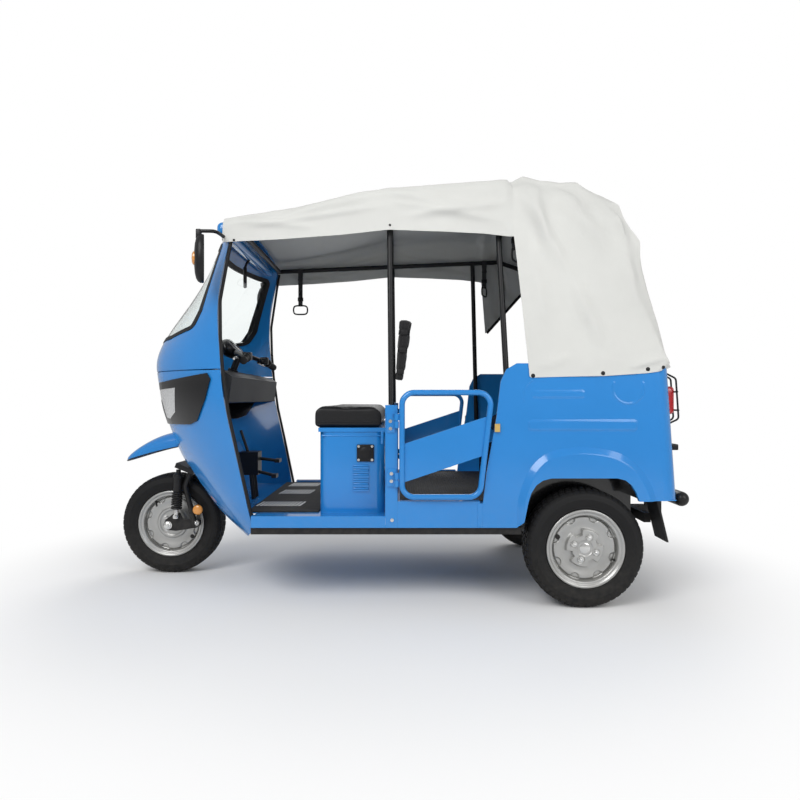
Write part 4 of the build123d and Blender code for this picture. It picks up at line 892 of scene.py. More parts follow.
def make_wheel(name, centre, face, node, body, petals=True, both=False):
    """A pressed steel wheel: rim band, disc with scallops, raised hub and nuts."""
    centre = Vector(centre)
    faces = (face, -face) if both else (face,)
    shape = bmesh.new()
    lathe(shape, [(r, y * face) for r, y in RIM_LOOP], centre, WHEEL_STEPS, closed=True)
    for side in faces:
        absorb(shape, make_disc(centre, side, petals))
    hub = [(HUB_BORE, HUB_HALF), (HUB_RADIUS, HUB_HALF), (HUB_RADIUS, -HUB_HALF), (HUB_BORE, -HUB_HALF)]
    lathe(shape, hub, centre, 48, closed=True)
    finish_piece(shape, name, finishes["wheel_silver"], body, sharp=50, stands_for=(node,))
    nuts = bmesh.new()
    turns, pitch, level, size, deep = NUT_ROWS[petals]
    for side in faces:
        for turn in turns:
            place = centre + spoke_at(turn, side) * pitch + Vector((0, side * level, 0))
            nut(nuts, place, (0, side, 0), size, deep)
        if petals:
            lathe(nuts, HUB_CAP, centre, 40, axis=(0, side, 0))
    finish_piece(nuts, name + "_nuts", bright_steel, body, sharp=35)
    marks = bmesh.new()
    mark_turn, valve_turn = MARK_TURNS[petals]
    place = centre + spoke_at(mark_turn, face) * MARK_PITCH + Vector((0, face * MARK_Y, 0))
    bmesh.ops.create_cone(
        marks, cap_ends=True, segments=28, radius1=MARK_RADIUS, radius2=MARK_RADIUS, depth=MARK_THICK,
        matrix=Matrix.Translation(place) @ Matrix.Rotation(math.pi / 2, 4, "X"),
    )
    spoke = spoke_at(valve_turn, face)
    aim = (Vector((0, face * 0.75, 0)) - spoke * 0.55).normalized()
    lathe(marks, VALVE_STEM, centre + spoke * VALVE_PITCH + Vector((0, face * VALVE_Y, 0)), 18, axis=aim)
    finish_piece(marks, name + "_valve", finishes["trim_rubber"], body, sharp=35)


REAR_AXLE = (-0.86, 0.54, 0.2525)
FRONT_AXLE = (1.09, 0.0, 0.2525)
for side, hand in HAND.items():
    middle = (REAR_AXLE[0], side * REAR_AXLE[1], REAR_AXLE[2])
    make_tyre(f"{hand}_tyre_tread", middle, f"{hand}_tyre", f"wheel_rear_{hand}")
    make_wheel(f"{hand}_wheel_disc", middle, side, f"{hand}_wheel", f"wheel_rear_{hand}")
make_tyre("front_tyre_tread", FRONT_AXLE, "front_tyre", "wheel_front")
make_wheel("front_wheel_disc", FRONT_AXLE, 1, "front_wheel", "wheel_front", petals=False, both=True)


# Cushions: the CAD block drawn in a little, blown up as cloth, with a piped seam.

PAD_VOXEL = 0.007
CLOTH_FRAMES = 20
CLOTH_SETTINGS = {
    "use_pressure": True, "uniform_pressure_force": 4, "quality": 5, "mass": 0.3, "tension_stiffness": 15,
    "compression_stiffness": 15, "bending_stiffness": 1.5,
}
# How far a pad may stand out of its CAD block, below and above.
PAD_BELOW, PAD_ABOVE = 0.006, 0.008
PIPING_POINTS = 120


def freeze(piece):
    """Applies the modifiers of a piece to its mesh."""
    graph = bpy.context.evaluated_depsgraph_get()
    mesh = bpy.data.meshes.new_from_object(piece.evaluated_get(graph))
    piece.modifiers.clear()
    piece.data = mesh


def blow_up(piece):
    """Swells a piece as cloth under pressure, and keeps the last frame."""
    cloth = piece.modifiers.new("cloth", "CLOTH")
    for key, value in CLOTH_SETTINGS.items():
        setattr(cloth.settings, key, value)
    cloth.settings.effector_weights.gravity = 0
    cloth.point_cache.frame_start = 1
    cloth.point_cache.frame_end = CLOTH_FRAMES
    for step in range(1, CLOTH_FRAMES + 1):
        scene.frame_set(step)
    freeze(piece)
    scene.frame_set(1)


def pad(name, node, body, draw_in, cap):
    """A stuffed pad in the place of a CAD block, swollen by no more than the cap."""
    low, high = (Vector(corner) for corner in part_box(node))
    middle, size = (low + high) / 2, high - low
    shape = bmesh.new()
    shape.from_mesh(nodes[node].data)
    for point in shape.verts:
        away = point.co - middle
        point.co = middle + Vector([away[i] * (size[i] - 2 * draw_in) / size[i] for i in range(3)])
    piece = loose_piece(shape, name, finishes["seat_vinyl"])
    remesh = piece.modifiers.new("remesh", "REMESH")
    remesh.mode = "VOXEL"
    remesh.voxel_size = PAD_VOXEL
    freeze(piece)
    rest = [point.co.copy() for point in piece.data.vertices]
    blow_up(piece)
    for point, start in zip(piece.data.vertices, rest):
        move = point.co - start
        if move.length > cap:
            move *= cap / move.length
        place = start + move
        place.z = max(place.z, low.z)
        point.co = [min(max(place[i], low[i] - PAD_BELOW), high[i] + PAD_ABOVE) for i in range(3)]
    piece.data.shade_smooth()
    soft = piece.modifiers.new("soft", "SUBSURF")
    soft.levels = soft.render_levels = 1
    mount(piece, body, (node,))
    return piece


def outline_points(piece, level):
    """Points round a pad at one height, found by rays from outside."""
    tree = BVHTree.FromObject(piece, bpy.context.evaluated_depsgraph_get())
    corners = [Vector(corner) for corner in piece.bound_box]
    low = Vector([min(corner[i] for corner in corners) for i in range(3)])
    high = Vector([max(corner[i] for corner in corners) for i in range(3)])
    middle, half = (low + high) / 2, (high - low) / 2
    points = []
    for step in range(PIPING_POINTS):
        angle = math.tau * step / PIPING_POINTS
        c, s = math.cos(angle), math.sin(angle)
        reach = 1 / max(abs(c), abs(s))
        start, target = Vector((middle.x, middle.y, level)), Vector((middle.x, middle.y, level))
        start.x += c * reach * half.x * 1.3
        start.y += s * reach * half.y * 1.3
        target.x += c * reach * half.x * (0.6 if abs(c) >= abs(s) else 0.94)
        target.y += s * reach * half.y * (0.6 if abs(s) >= abs(c) else 0.94)
        hit = tree.ray_cast(start, (target - start).normalized())[0]
        if hit is not None:
            points.append(hit)
    return points


driver_pad = pad("driver_pad", "driver_cushion", "seat_cover", 0.005, 0.010)
rear_pad = pad("rear_seat_pad", "rear_cushion", "chassis", 0.006, 0.012)
pad("rear_back_pad", "seat_back", "chassis", 0.006, 0.012)
for pad_name, piece, level, radius, body in (
    ("driver_pad_piping", driver_pad, 0.7850, 0.0030, "seat_cover"),
    ("rear_pad_piping", rear_pad, 0.7660, 0.0035, "chassis"),
):
    tube(pad_name, outline_points(piece, level), radius, finishes["seat_vinyl"], body, closed=True,
         smooth=True)


# Floor covers: grip bars on the driver's mat, and a rubber sheet where the passengers stand.

# Fields of grip bars: X from, X to, Y from, Y to, how many.
GRIP_FIELDS = [
    (0.388, 0.556, -0.158, -0.022, 10), (0.378, 0.592, 0.232, 0.346, 12), (0.388, 0.556, -0.420, -0.300, 10),
]
GRIP_HALF, GRIP_RISE, GRIP_SLANT = 0.0040, 0.0022, 0.10
MAT_X, MAT_HALF, MAT_Z, MAT_THICK = (-0.634, -0.074), 0.540, 0.4462, 0.0026
MAT_RIBS, RIB_INSET_X, RIB_INSET_Y, RIB_HALF = 46, 0.014, 0.012, 0.0030


def make_mats():
    """Slanted grip bars on the driver's mat and a ribbed rubber mat for the passengers."""
    bars = bmesh.new()
    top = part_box("floor_mat")[1][2]
    for x_low, x_high, y_low, y_high, count in GRIP_FIELDS:
        middle = (y_low + y_high) / 2
        for step in range(count):
            x = x_low + (x_high - x_low) * (step + 0.5) / count
            low, high = (x - GRIP_HALF, y_low, top - 0.001), (x + GRIP_HALF, y_high, top + GRIP_RISE)
            for point in slab(bars, low, high, 0.0009):
                point.co.x += (point.co.y - middle) * GRIP_SLANT
    # The bars' near-white colour is painted reflection on the bright strips.
    finish_piece(bars, "mat_grip_bars", grip_bar_painted_reflection, "chassis")
    mat = bmesh.new()
    x_low, x_high = MAT_X
    slab(mat, (x_low, -MAT_HALF, MAT_Z), (x_high, MAT_HALF, MAT_Z + MAT_THICK), 0.001)
    rib_y = MAT_HALF - RIB_INSET_Y
    for step in range(MAT_RIBS):
        x = x_low + RIB_INSET_X + (x_high - x_low - 2 * RIB_INSET_X) * step / (MAT_RIBS - 1)
        slab(mat, (x - RIB_HALF, -rib_y, MAT_Z + 0.002), (x + RIB_HALF, rib_y, MAT_Z + 0.0042), 0.0008, 1)
    finish_piece(mat, "passenger_mat", finishes["mat_rubber"], "chassis")


make_mats()


# Front suspension: arms, covered coil springs, axle nuts and side reflectors.

# The steering frame: its foot, and its directions up the head and ahead.
HEAD_FOOT = Vector((1.103908, 0, 0.258119))
HEAD_UP = Vector((-0.374607, 0, 0.927184))
HEAD_AHEAD = Vector((0.927184, 0, 0.374607))
# The arm's outline and its pivot (ahead, up), then its inner face and thickness.
ARM_OUTLINE = [
    (-0.165, 0.062), (-0.152, 0.082), (-0.128, 0.080), (-0.070, 0.052), (-0.046, 0.078), (-0.024, 0.074),
    (0.008, 0.020), (0.010, -0.012), (-0.020, -0.026), (-0.064, -0.012), (-0.150, 0.040),
]
ARM_PIVOT, ARM_Y, ARM_THICK = (-0.143, 0.064), 0.0890, 0.010
PIVOT_BOSS = [(0, -0.010), (0.017, -0.010), (0.019, -0.008), (0.019, 0.008), (0.017, 0.010), (0, 0.010)]
# The spring leg's ends (ahead, up) and its Y.
LEG_FOOT, LEG_TOP, LEG_Y = (-0.036, 0.060), (0.036, 0.272), 0.108
# Radius and place along the leg, from its top and then from its foot.
LEG_UPPER = [
    (0, 0.010), (0.011, 0.008), (0.013, -0.010), (0.022, -0.014), (0.024, -0.022), (0.024, -0.030),
    (0.0205, -0.036), (0.0205, -0.100), (0.017, -0.104), (0.013, -0.106),
]
LEG_LOWER = [(0.013, 0.040), (0, 0.040)]
SPRING_SEAT = [(0.013, 0.044), (0.0265, 0.044), (0.0280, 0.040), (0.0265, 0.036), (0.013, 0.036)]
LEG_EYE = [
    (0, 0.034), (0.011, 0.034), (0.012, 0.030), (0.012, 0.004), (0.0155, 0.000), (0.0155, -0.012), (0, -0.014),
]
COIL_TURNS, COIL_STEPS, COIL_RADIUS, COIL_START, COIL_SPARE = 6.5, 210, 0.0225, 0.048, 0.152
AXLE_END = [
    (0, -0.076), (0.0138, -0.076), (0.0138, 0.024), (0.021, 0.026), (0.021, 0.030), (0.0165, 0.031),
    (0.0165, 0.041), (0.0125, 0.044), (0.0095, 0.0445), (0.0095, 0.052), (0, 0.053),
]
REFLECTOR_PLACE, REFLECTOR_Y = (-0.128, 0.132), 0.1150
REFLECTOR = [(0, 0.0150), (0.012, 0.0140), (0.020, 0.0110), (0.0245, 0.0060), (0.0250, 0.002), (0, 0.002)]
REFLECTOR_CUP = [
    (0, -0.006), (0.022, -0.006), (0.0265, -0.002), (0.0265, 0.005), (0.0252, 0.005), (0.0250, 0.001), (0, 0.001),
]


def in_head(ahead, y, up):
    """A place in the steering frame, set into the vehicle frame."""
    return HEAD_FOOT + HEAD_AHEAD * ahead + HEAD_UP * up + Vector((0, y, 0))


def make_leading_arms():
    """A leading arm each side of the front wheel, with its pivot boss."""
    arms = bmesh.new()
    for side in SIDES:
        plate = arms.faces.new([arms.verts.new(in_head(ahead, side * ARM_Y, up)) for ahead, up in ARM_OUTLINE])
        moved = new_points(bmesh.ops.extrude_face_region(arms, geom=[plate]))
        bmesh.ops.translate(arms, vec=(0, side * ARM_THICK, 0), verts=moved)
        lathe(arms, PIVOT_BOSS, in_head(ARM_PIVOT[0], side * 0.094, ARM_PIVOT[1]), 32)
    edges = [edge for edge in arms.edges if len(edge.link_faces) == 2 and edge.calc_face_angle(0) > 0.9]
    bmesh.ops.bevel(
        arms, geom=edges, offset=0.0015, offset_type="OFFSET", affect="EDGES", segments=2, profile=0.5, material=-1,
    )
    finish_piece(arms, "leading_arms", finishes["frame_black"], "steering",
                 stands_for=("front_suspension",))


def coil_points(foot, aim, reach):
    """The helix of a spring round its leg."""
    out = aim.orthogonal().normalized()
    across = aim.cross(out)
    points = []
    for step in range(COIL_STEPS + 1):
        angle = math.tau * COIL_TURNS * step / COIL_STEPS
        along = COIL_START + (reach - COIL_SPARE) * step / COIL_STEPS
        points.append(foot + aim * along + (out * math.cos(angle) + across * math.sin(angle)) * COIL_RADIUS)
    return points


def make_spring_legs():
    """A spring leg each side of the front wheel, with its nuts and the axle's ends."""
    black = finishes["frame_black"]
    legs, bright = bmesh.new(), bmesh.new()
    for side in SIDES:
        foot, top = (in_head(ahead, side * LEG_Y, up) for ahead, up in (LEG_FOOT, LEG_TOP))
        aim, reach = (top - foot).normalized(), (top - foot).length
        lathe(legs, [(radius, reach + along) for radius, along in LEG_UPPER] + LEG_LOWER, foot, 36, axis=aim)
        lathe(legs, SPRING_SEAT, foot, 36, axis=aim, closed=True)
        tube(f"spring_coil_{HAND[side]}", coil_points(foot, aim, reach), 0.0042, black, "steering",
             sides=4)
        lathe(bright, LEG_EYE, foot, 28, axis=aim)
        nut(bright, foot + Vector((0, side * 0.0155, 0)), (0, side, 0), 0.0072, 0.008)
        nut(bright, in_head(ARM_PIVOT[0], side * 0.1042, ARM_PIVOT[1]), (0, side, 0), 0.0105, 0.010)
        lathe(bright, AXLE_END, (FRONT_AXLE[0], side * 0.0760, FRONT_AXLE[2]), 40, axis=(0, side, 0))
    finish_piece(legs, "spring_legs", black, "steering")
    finish_piece(bright, "axle_nuts", bright_steel, "steering")


def make_reflectors():
    """A round amber reflector in a cup each side of the fork."""
    amber, rims = bmesh.new(), bmesh.new()
    for side in SIDES:
        place = in_head(REFLECTOR_PLACE[0], side * REFLECTOR_Y, REFLECTOR_PLACE[1])
        lathe(amber, REFLECTOR, place, 40, axis=(0, side, 0))
        lathe(rims, REFLECTOR_CUP, place, 40, axis=(0, side, 0))
        back = side * -0.006
        slab(rims, place + Vector((-0.008, back - 0.004, -0.046)), place + Vector((0.008, back, 0.004)), 0.001)
    finish_piece(amber, "side_reflectors", amber_lens, "steering")
    finish_piece(rims, "reflector_cups", finishes["frame_black"], "steering")


make_leading_arms()
make_spring_legs()
make_reflectors()


# Rolled curtain, hand straps and the things that hang inside.

CURTAIN_TOP, CURTAIN_FOOT = Vector((-0.098, 0.548, 1.222)), Vector((-0.0718, 0.571, 0.968))
CURTAIN_STRAPS = (0.14, 0.50, 0.80)
CURTAIN_ROWS, CURTAIN_STEPS = 64, 40


def curtain_width(share):
    """The roll's mean radius a share of the way up."""
    return 0.0228 * (0.66 + 0.52 * share)


def curtain_radius(share, angle):
    """The roll's radius with its laps, creases, pinches at the straps and drawn-in ends."""
    pinch = sum(0.0045 * math.exp(-((share - at) / 0.035) ** 2) for at in CURTAIN_STRAPS)
    laps = 0.0016 * math.sin(5 * angle + 3 * share) + 0.0012 * math.sin(11 * angle - 9 * share)
    crease = 0.003 * noise.noise(Vector((math.cos(angle) * 2, math.sin(angle) * 2, share * 7)))
    ends = 0.72 + 0.28 * ease(min(share, 1 - share), 0.0, 0.03)
    return (curtain_width(share) - pinch + laps + crease) * ends


def make_curtain():
    """A black side curtain rolled up and strapped behind the middle post."""
    foot, reach = CURTAIN_FOOT, (CURTAIN_TOP - CURTAIN_FOOT).length
    aim = (CURTAIN_TOP - CURTAIN_FOOT).normalized()
    out = aim.orthogonal().normalized()
    across = aim.cross(out)
    shape = bmesh.new()
    rings = []
    for row in range(CURTAIN_ROWS + 1):
        share = row / CURTAIN_ROWS
        ring = []
        for step in range(CURTAIN_STEPS):
            angle = math.tau * step / CURTAIN_STEPS
            spoke = out * math.cos(angle) + across * math.sin(angle)
            ring.append(shape.verts.new(foot + aim * reach * share + spoke * curtain_radius(share, angle)))
        rings.append(ring)
    skin(shape, [ring + ring[:1] for ring in rings])
    shape.faces.new(rings[0])
    shape.faces.new(rings[-1])
    piece = finish_piece(shape, "curtain_roll", finishes["curtain"], "chassis", sharp=70,
                         stands_for=("rolled_curtain",))
    bands = bmesh.new()
    for at in CURTAIN_STRAPS:
        middle, wide = foot + aim * reach * at, curtain_width(at)
        band = [(wide - 0.003, -0.009), (wide, -0.009), (wide, 0.009), (wide - 0.003, 0.009)]
        lathe(bands, band, middle, 36, axis=aim, closed=True)
        slab(bands, middle + Vector((-0.014, wide - 0.005, -0.011)), middle + Vector((0.014, wide + 0.005, 0.011)),
             0.0015)
    finish_piece(bands, "curtain_straps", finishes["trim_rubber"], "chassis")


make_curtain()

# The roof rails that the straps hang from: their half distance, and their height at the back bow.
RAIL_HALF, RAIL_BACK_Z = 0.478, 1.640
RAIL_SLOPE = (1.697 - RAIL_BACK_Z) / (0.642 + 0.660)
RAIL_WRAP = 0.0140
# The webbing is cut this much longer, for the lap sewn at the ring.
WEB_WIDTH, WEB_THICK, WEB_COLUMNS = 0.025, 0.0012, 4
# Half of the ring handle's outline, across and up.
RING_HALF = [
    (0, 0.0255), (0.024, 0.0255), (0.038, 0.020), (0.0420, 0.004), (0.0405, -0.014), (0.032, -0.0255), (0, -0.0265),
]
# X, side, length below the rail, turn of the ring.
HAND_STRAPS = [(0.517, -1, 0.190, 0.0), (-0.575, -1, 0.130, 1.1), (-0.582, 1, 0.130, 1.1)]


def strap_path(rail, ring_z):
    """The webbing's closed loop (Y offset, Z) over the rail and through the ring."""
    path = [(-0.0030, ring_z + 0.034), (-0.0040, rail - 0.060), (-0.0125, rail - 0.014)]
    for degrees in (-100, -70, -40, -10, 20, 50, 80, 100):
        angle = math.radians(degrees)
        path.append((math.sin(angle) * RAIL_WRAP, rail + math.cos(angle) * RAIL_WRAP))
    path += [(0.0125, rail - 0.014), (0.0040, rail - 0.060), (0.0030, ring_z + 0.034), (0, ring_z + 0.0205)]
    return path + path[:1]


def make_hand_strap(name, x, side, length, turn):
    """A webbing strap looped over the rail with a ring handle at its end."""
    rail = RAIL_BACK_Z + (0.642 - x) * RAIL_SLOPE
    ring_z = rail - 0.0135 - length - 0.028
    y = side * RAIL_HALF
    path = strap_path(rail, ring_z)
    shape = bmesh.new()
    rows = []
    for offset, height in path[:-1]:
        across = [x - WEB_WIDTH / 2 + WEB_WIDTH * i / WEB_COLUMNS for i in range(WEB_COLUMNS + 1)]
        rows.append([shape.verts.new((place, y + offset, height)) for place in across])
    skin(shape, rows + rows[:1])
    bmesh.ops.recalc_face_normals(shape, faces=shape.faces)
    bmesh.ops.solidify(shape, geom=list(shape.faces), thickness=WEB_THICK)
    band = finish_piece(shape, name + "_band", webbing, "chassis", sharp=60)
    buckle = bmesh.new()
    slab(buckle, (x - 0.0160, y - 0.0065, ring_z + 0.052), (x + 0.0160, y + 0.0065, ring_z + 0.074), 0.0015)
    slab(buckle, (x - 0.0145, y - 0.0055, rail - 0.058), (x + 0.0145, y + 0.0055, rail - 0.046), 0.0012)
    finish_piece(buckle, name + "_buckle", finishes["cover_black"], "chassis")
    ring = RING_HALF + [(-across, up) for across, up in reversed(RING_HALF[1:-1])]
    places = [(x + across * math.cos(turn), y + across * math.sin(turn), ring_z + up) for across, up in ring]
    tube(name + "_ring", places, 0.0045, finishes["cover_black"], "chassis", closed=True,
         smooth=True, stands_for=("strap_handles",) if name == "strap_1" else ())


for number, strap in enumerate(HAND_STRAPS, 1):
    make_hand_strap(f"strap_{number}", *strap)


# Pressed forms and trim on the bodywork.

BODY_FACE = 0.600
# How far a swage's patch reaches past its box, how far it lies under the paint, and its grid.
SWAGE_MARGIN, SWAGE_SUNK, SWAGE_GRID = 0.006, 0.0004, (0.004, 0.003)
# Box (X from, X to, Z from, Z to), rise, ramp, corner, and an arc's ring: middle, radius, half width, top.
SWAGES = [
    ((-1.083, -0.611, 0.747, 0.804), 0.0042, 0.014, 0.020, None),
    ((-0.860, -0.630, 0.885, 0.930), 0.0030, 0.014, 0.016, None),
    ((-1.120, -0.960, 0.852, 0.965), 0.0030, 0.007, 0.0, ((-1.040, 0.933), 0.066, 0.007, 0.962)),
    ((-0.640, -0.560, 0.880, 0.972), 0.0026, 0.006, 0.0, ((-0.665, 0.900), 0.072, 0.006, 0.968)),
]


def outside_box(x, z, box, corner):
    """Distance of a place outside a round-cornered box in side view, negative inside."""
    x_low, x_high, z_low, z_high = box
    across = abs(x - (x_low + x_high) / 2) - (x_high - x_low) / 2 + corner
    up = abs(z - (z_low + z_high) / 2) - (z_high - z_low) / 2 + corner
    return math.hypot(max(across, 0), max(up, 0)) + min(max(across, up), 0) - corner


def outside_ring(x, z, ring):
    """Distance of a place outside an arc in side view, negative inside."""
    (ring_x, ring_z), radius, half, top = ring
    return max(abs(math.hypot(x - ring_x, z - ring_z) - radius) - half, z - top)


def make_swage(shape, side, box, rise, ramp, corner, ring):
    """A pressed swage on the side panel: its rim lies just under the paint."""
    x_low, x_high, z_low, z_high = box
    width, height = x_high - x_low + 2 * SWAGE_MARGIN, z_high - z_low + 2 * SWAGE_MARGIN
    place = Matrix.Translation(((x_low + x_high) / 2, side * BODY_FACE, (z_low + z_high) / 2))
    place = place @ Matrix.Rotation(math.pi / 2, 4, "X") @ Matrix.Diagonal((width, height, 1, 1))
    columns, rows = int(width / SWAGE_GRID[0]), int(height / SWAGE_GRID[1])
    made = bmesh.ops.create_grid(shape, x_segments=columns, y_segments=rows, size=0.5, matrix=place)["verts"]
    for point in made:
        x, z = point.co.x, point.co.z
        gap = outside_ring(x, z, ring) if ring else outside_box(x, z, box, corner)
        point.co.y = side * (BODY_FACE - SWAGE_SUNK + rise * ease(-gap, 0.0, ramp))


def make_swages():
    """The long bar, the faint upper bar, the round emboss and the corner arc of each side."""
    shape = bmesh.new()
    for side in SIDES:
        for swage in SWAGES:
            make_swage(shape, side, *swage)
    finish_piece(shape, "side_swages", finishes["body_blue"], "chassis", sharp=60)


make_swages()

# The mudguard's crown and its lower edge, each a parabola through three places (X, Z).
GUARD_TOP = ((1.045, 0.7205), (1.196, 0.676), (1.329, 0.582))
GUARD_UNDER = ((1.045, 0.645), (1.180, 0.614), (1.329, 0.568))
# From X to X it narrows a little, and past the second it ends in a round tip of this length.
GUARD_X, GUARD_BEND_X, GUARD_TIP = 1.045, 1.24, 0.0895
GUARD_HALF, GUARD_BEND_HALF = 0.102, 0.092
GUARD_THICK = 0.003


def through_three(points, x):
    """The height at x of the parabola through three places."""
    total = 0.0
    for i, (own_x, own_z) in enumerate(points):
        share = own_z
        for j, (other_x, _) in enumerate(points):
            if i != j:
                share *= (x - other_x) / (own_x - other_x)
        total += share
    return total


def guard_half(x):
    """Half the mudguard's width, with a round tip."""
    if x <= GUARD_BEND_X:
        return GUARD_HALF - 0.010 * (x - GUARD_X) / 0.195
    return GUARD_BEND_HALF * math.sqrt(max(1 - ((x - GUARD_BEND_X) / GUARD_TIP) ** 2, 0.0))


def make_mudguard():
    """A crowned beak of painted steel with a rubber lip."""
    shape = bmesh.new()
    stations = [GUARD_X + 0.195 * i / 22 for i in range(22)]
    stations += [GUARD_BEND_X + 0.0890 * math.sin(math.pi / 2 * i / 20) for i in range(21)]
    rows = []
    for x in stations:
        top, under, half = through_three(GUARD_TOP, x), through_three(GUARD_UNDER, x), guard_half(x)
        row = []
        for step in range(37):
            turn = -math.pi / 2 + math.pi * step / 36
            s, c = math.sin(turn), max(math.cos(turn), 0.0)
            y = half * math.copysign(abs(s) ** 0.66, s)
            row.append(shape.verts.new((x, y, under + (top - under) * c ** 0.60)))
        rows.append(row)
    skin(shape, rows)
    bmesh.ops.remove_doubles(shape, verts=shape.verts, dist=0.0002)
    bmesh.ops.recalc_face_normals(shape, faces=shape.faces)
    if sum(face.normal.z for face in shape.faces) < 0:
        bmesh.ops.reverse_faces(shape, faces=shape.faces)
    bmesh.ops.solidify(shape, geom=list(shape.faces), thickness=GUARD_THICK)
    finish_piece(shape, "mudguard_blade", finishes["body_blue"], "chassis", sharp=60,
                 stands_for=("mudguard",))
    left = [(x, guard_half(x), through_three(GUARD_UNDER, x)) for x in stations[::3] + [1.3285]]
    right = [(x, -y, z) for x, y, z in reversed(left[:-1])]
    tube("mudguard_lip", left + right, 0.0028, finishes["trim_rubber"], "chassis", smooth=True)


make_mudguard()

MIRROR_PLACE = (0.768, 0.622, 1.476)
MIRROR_TURN = math.radians(18)
# Profiles about the mirror's axis, as a share of its half size, and how far ahead.
SHELL_PROFILE = [(0, -0.012), (0.90, -0.012), (0.93, -0.019), (0.98, -0.020), (1.0, -0.016), (1.0, -0.006),
                 (0.95, 0.004), (0.82, 0.012), (0.60, 0.017), (0.30, 0.0195), (0, 0.020)]
GLASS_PROFILE = [(0, -0.0135), (0.905, -0.0135), (0.905, -0.0115), (0, -0.0115)]
LAMP_PROFILE = [(0, 0.030), (0.3, 0.0285), (0.45, 0.024), (0.5, 0.016), (0, 0.014)]
MIRROR_OVAL, LAMP_ROUND = (1, 0.066, 0.102, 1), (1, 0.060, 0.060, 1)
# The arm's bends between its bracket on the post and the mirror: X, Y, Z.
ARM_BENDS = [(0.688, 0.512, 1.590), (0.693, 0.575, 1.591), (0.702, 0.618, 1.591), (0.730, 0.622, 1.591)]
MIRROR_ARM_Z = 1.591


def make_mirrors():
    """Oval mirrors turned to the driver, on bent arms, each with an amber lamp in its back."""
    shell, glass, lamp = bmesh.new(), bmesh.new(), bmesh.new()
    x, y, z = MIRROR_PLACE
    for side in SIDES:
        place = Matrix.Translation((x, side * y, z)) @ Matrix.Rotation(side * MIRROR_TURN, 4, "Z")
        for shape, profile, stretch in (
            (shell, SHELL_PROFILE, MIRROR_OVAL), (glass, GLASS_PROFILE, MIRROR_OVAL),
            (lamp, LAMP_PROFILE, LAMP_ROUND),
        ):
            single = bmesh.new()
            lathe(single, profile, (0, 0, 0), 64, axis=(1, 0, 0))
            bmesh.ops.transform(single, matrix=place @ Matrix.Diagonal(stretch), verts=single.verts)
            absorb(shape, single)
        slab(shell, (x - 0.010, side * y - 0.010, 1.556), (x + 0.012, side * y + 0.010, 1.599), 0.004)
        slab(shell, (0.676, side * 0.512 - 0.014, 1.574), (0.700, side * 0.512 + 0.014, 1.608), 0.004)
        arm = [(bend_x, side * bend_y, bend_z) for bend_x, bend_y, bend_z in ARM_BENDS]
        tube(f"mirror_arm_{HAND[side]}", arm + [(x, side * y, MIRROR_ARM_Z)], 0.0075, finishes["frame_black"],
             "chassis", smooth=True)
    finish_piece(shell, "mirror_shells", finishes["cover_black"], "chassis", stands_for=("mirrors",))
    finish_piece(glass, "mirror_glass", silvered_glass, "chassis")
    finish_piece(lamp, "mirror_lamps", amber_lens, "chassis")


make_mirrors()


# Press studs on the canvas, hinge plates, bolts, louvres and the charge cover.

# X, Z, size.
STUDS = [
    (-0.636, 0.985, 1.0), (-0.931, 0.9955, 1.0), (-1.121, 1.0130, 1.0), (-1.186, 1.021, 0.9), (0.644, 1.5745, 0.6),
    (-0.031, 1.640, 0.6),
]
# A stud of size 1: radius, how far out.
STUD_PROFILE = [(0, 0.0042), (0.003, 0.004), (0.0072, 0.0024), (0.0088, 0.0006), (0.0088, -0.001), (0, -0.001)]
# X from, X to, Z from, Z to.
HINGE_PLATES = [(-0.053, -0.019, 0.744, 0.812), (-0.060, -0.023, 0.524, 0.593)]
HINGE_BOLTS = [(-0.034, 0.793), (-0.034, 0.762), (-0.038, 0.5715), (-0.038, 0.540)]
BOLT_SIZE = 0.0052
COVER_DISC = [(0, 0.0035), (0.022, 0.0030), (0.026, 0.0010), (0.026, -0.002), (0, -0.002)]
COVER_INSET = 0.008
LOUVRES, LOUVRE_Z, LOUVRE_PITCH = 6, 0.486, 0.020
LOUVRE_Y, LOUVRE_HALF = 0.4965, 0.0055
HEADER_LOW, HEADER_HIGH, HEADER_CROWN = (0.674, -0.494, 1.604), (0.735, 0.494, 1.668), 0.016


def make_fasteners():
    """Studs on the canvas, and plates and bolts on the posts, each set on what carries it."""
    tree = BVHTree.FromObject(canvas, bpy.context.evaluated_depsgraph_get())
    studs, plates, bolts = bmesh.new(), bmesh.new(), bmesh.new()
    for side in SIDES:
        for x, z, size in STUDS:
            hit = tree.ray_cast(Vector((x, side, z)), Vector((0, -side, 0)))[0]
            if hit is None:
                continue
            lathe(studs, [(radius * size, along) for radius, along in STUD_PROFILE], hit, 28, axis=(0, side, 0))
        for x_low, x_high, z_low, z_high in HINGE_PLATES:
            slab(plates, (x_low, side * 0.5995 - 0.0045, z_low), (x_high, side * 0.5995 + 0.0045, z_high), 0.0015)
        for x, z in HINGE_BOLTS:
            bolt(bolts, (x, side * 0.604, z), (0, side, 0), BOLT_SIZE)
        bolt(bolts, (-0.041, side * BODY_FACE, 0.3745), (0, side, 0), BOLT_SIZE)
        strip_low, strip_high = side * BODY_FACE - 0.0014, side * BODY_FACE + 0.0014
        slab(plates, (-0.424, strip_low, 0.346), (-0.402, strip_high, 0.4455), 0.0006, 1)
    finish_piece(studs, "canvas_studs", finishes["cover_black"], "chassis")
    finish_piece(plates, "hinge_plates", finishes["body_blue"], "chassis")
    return bolts


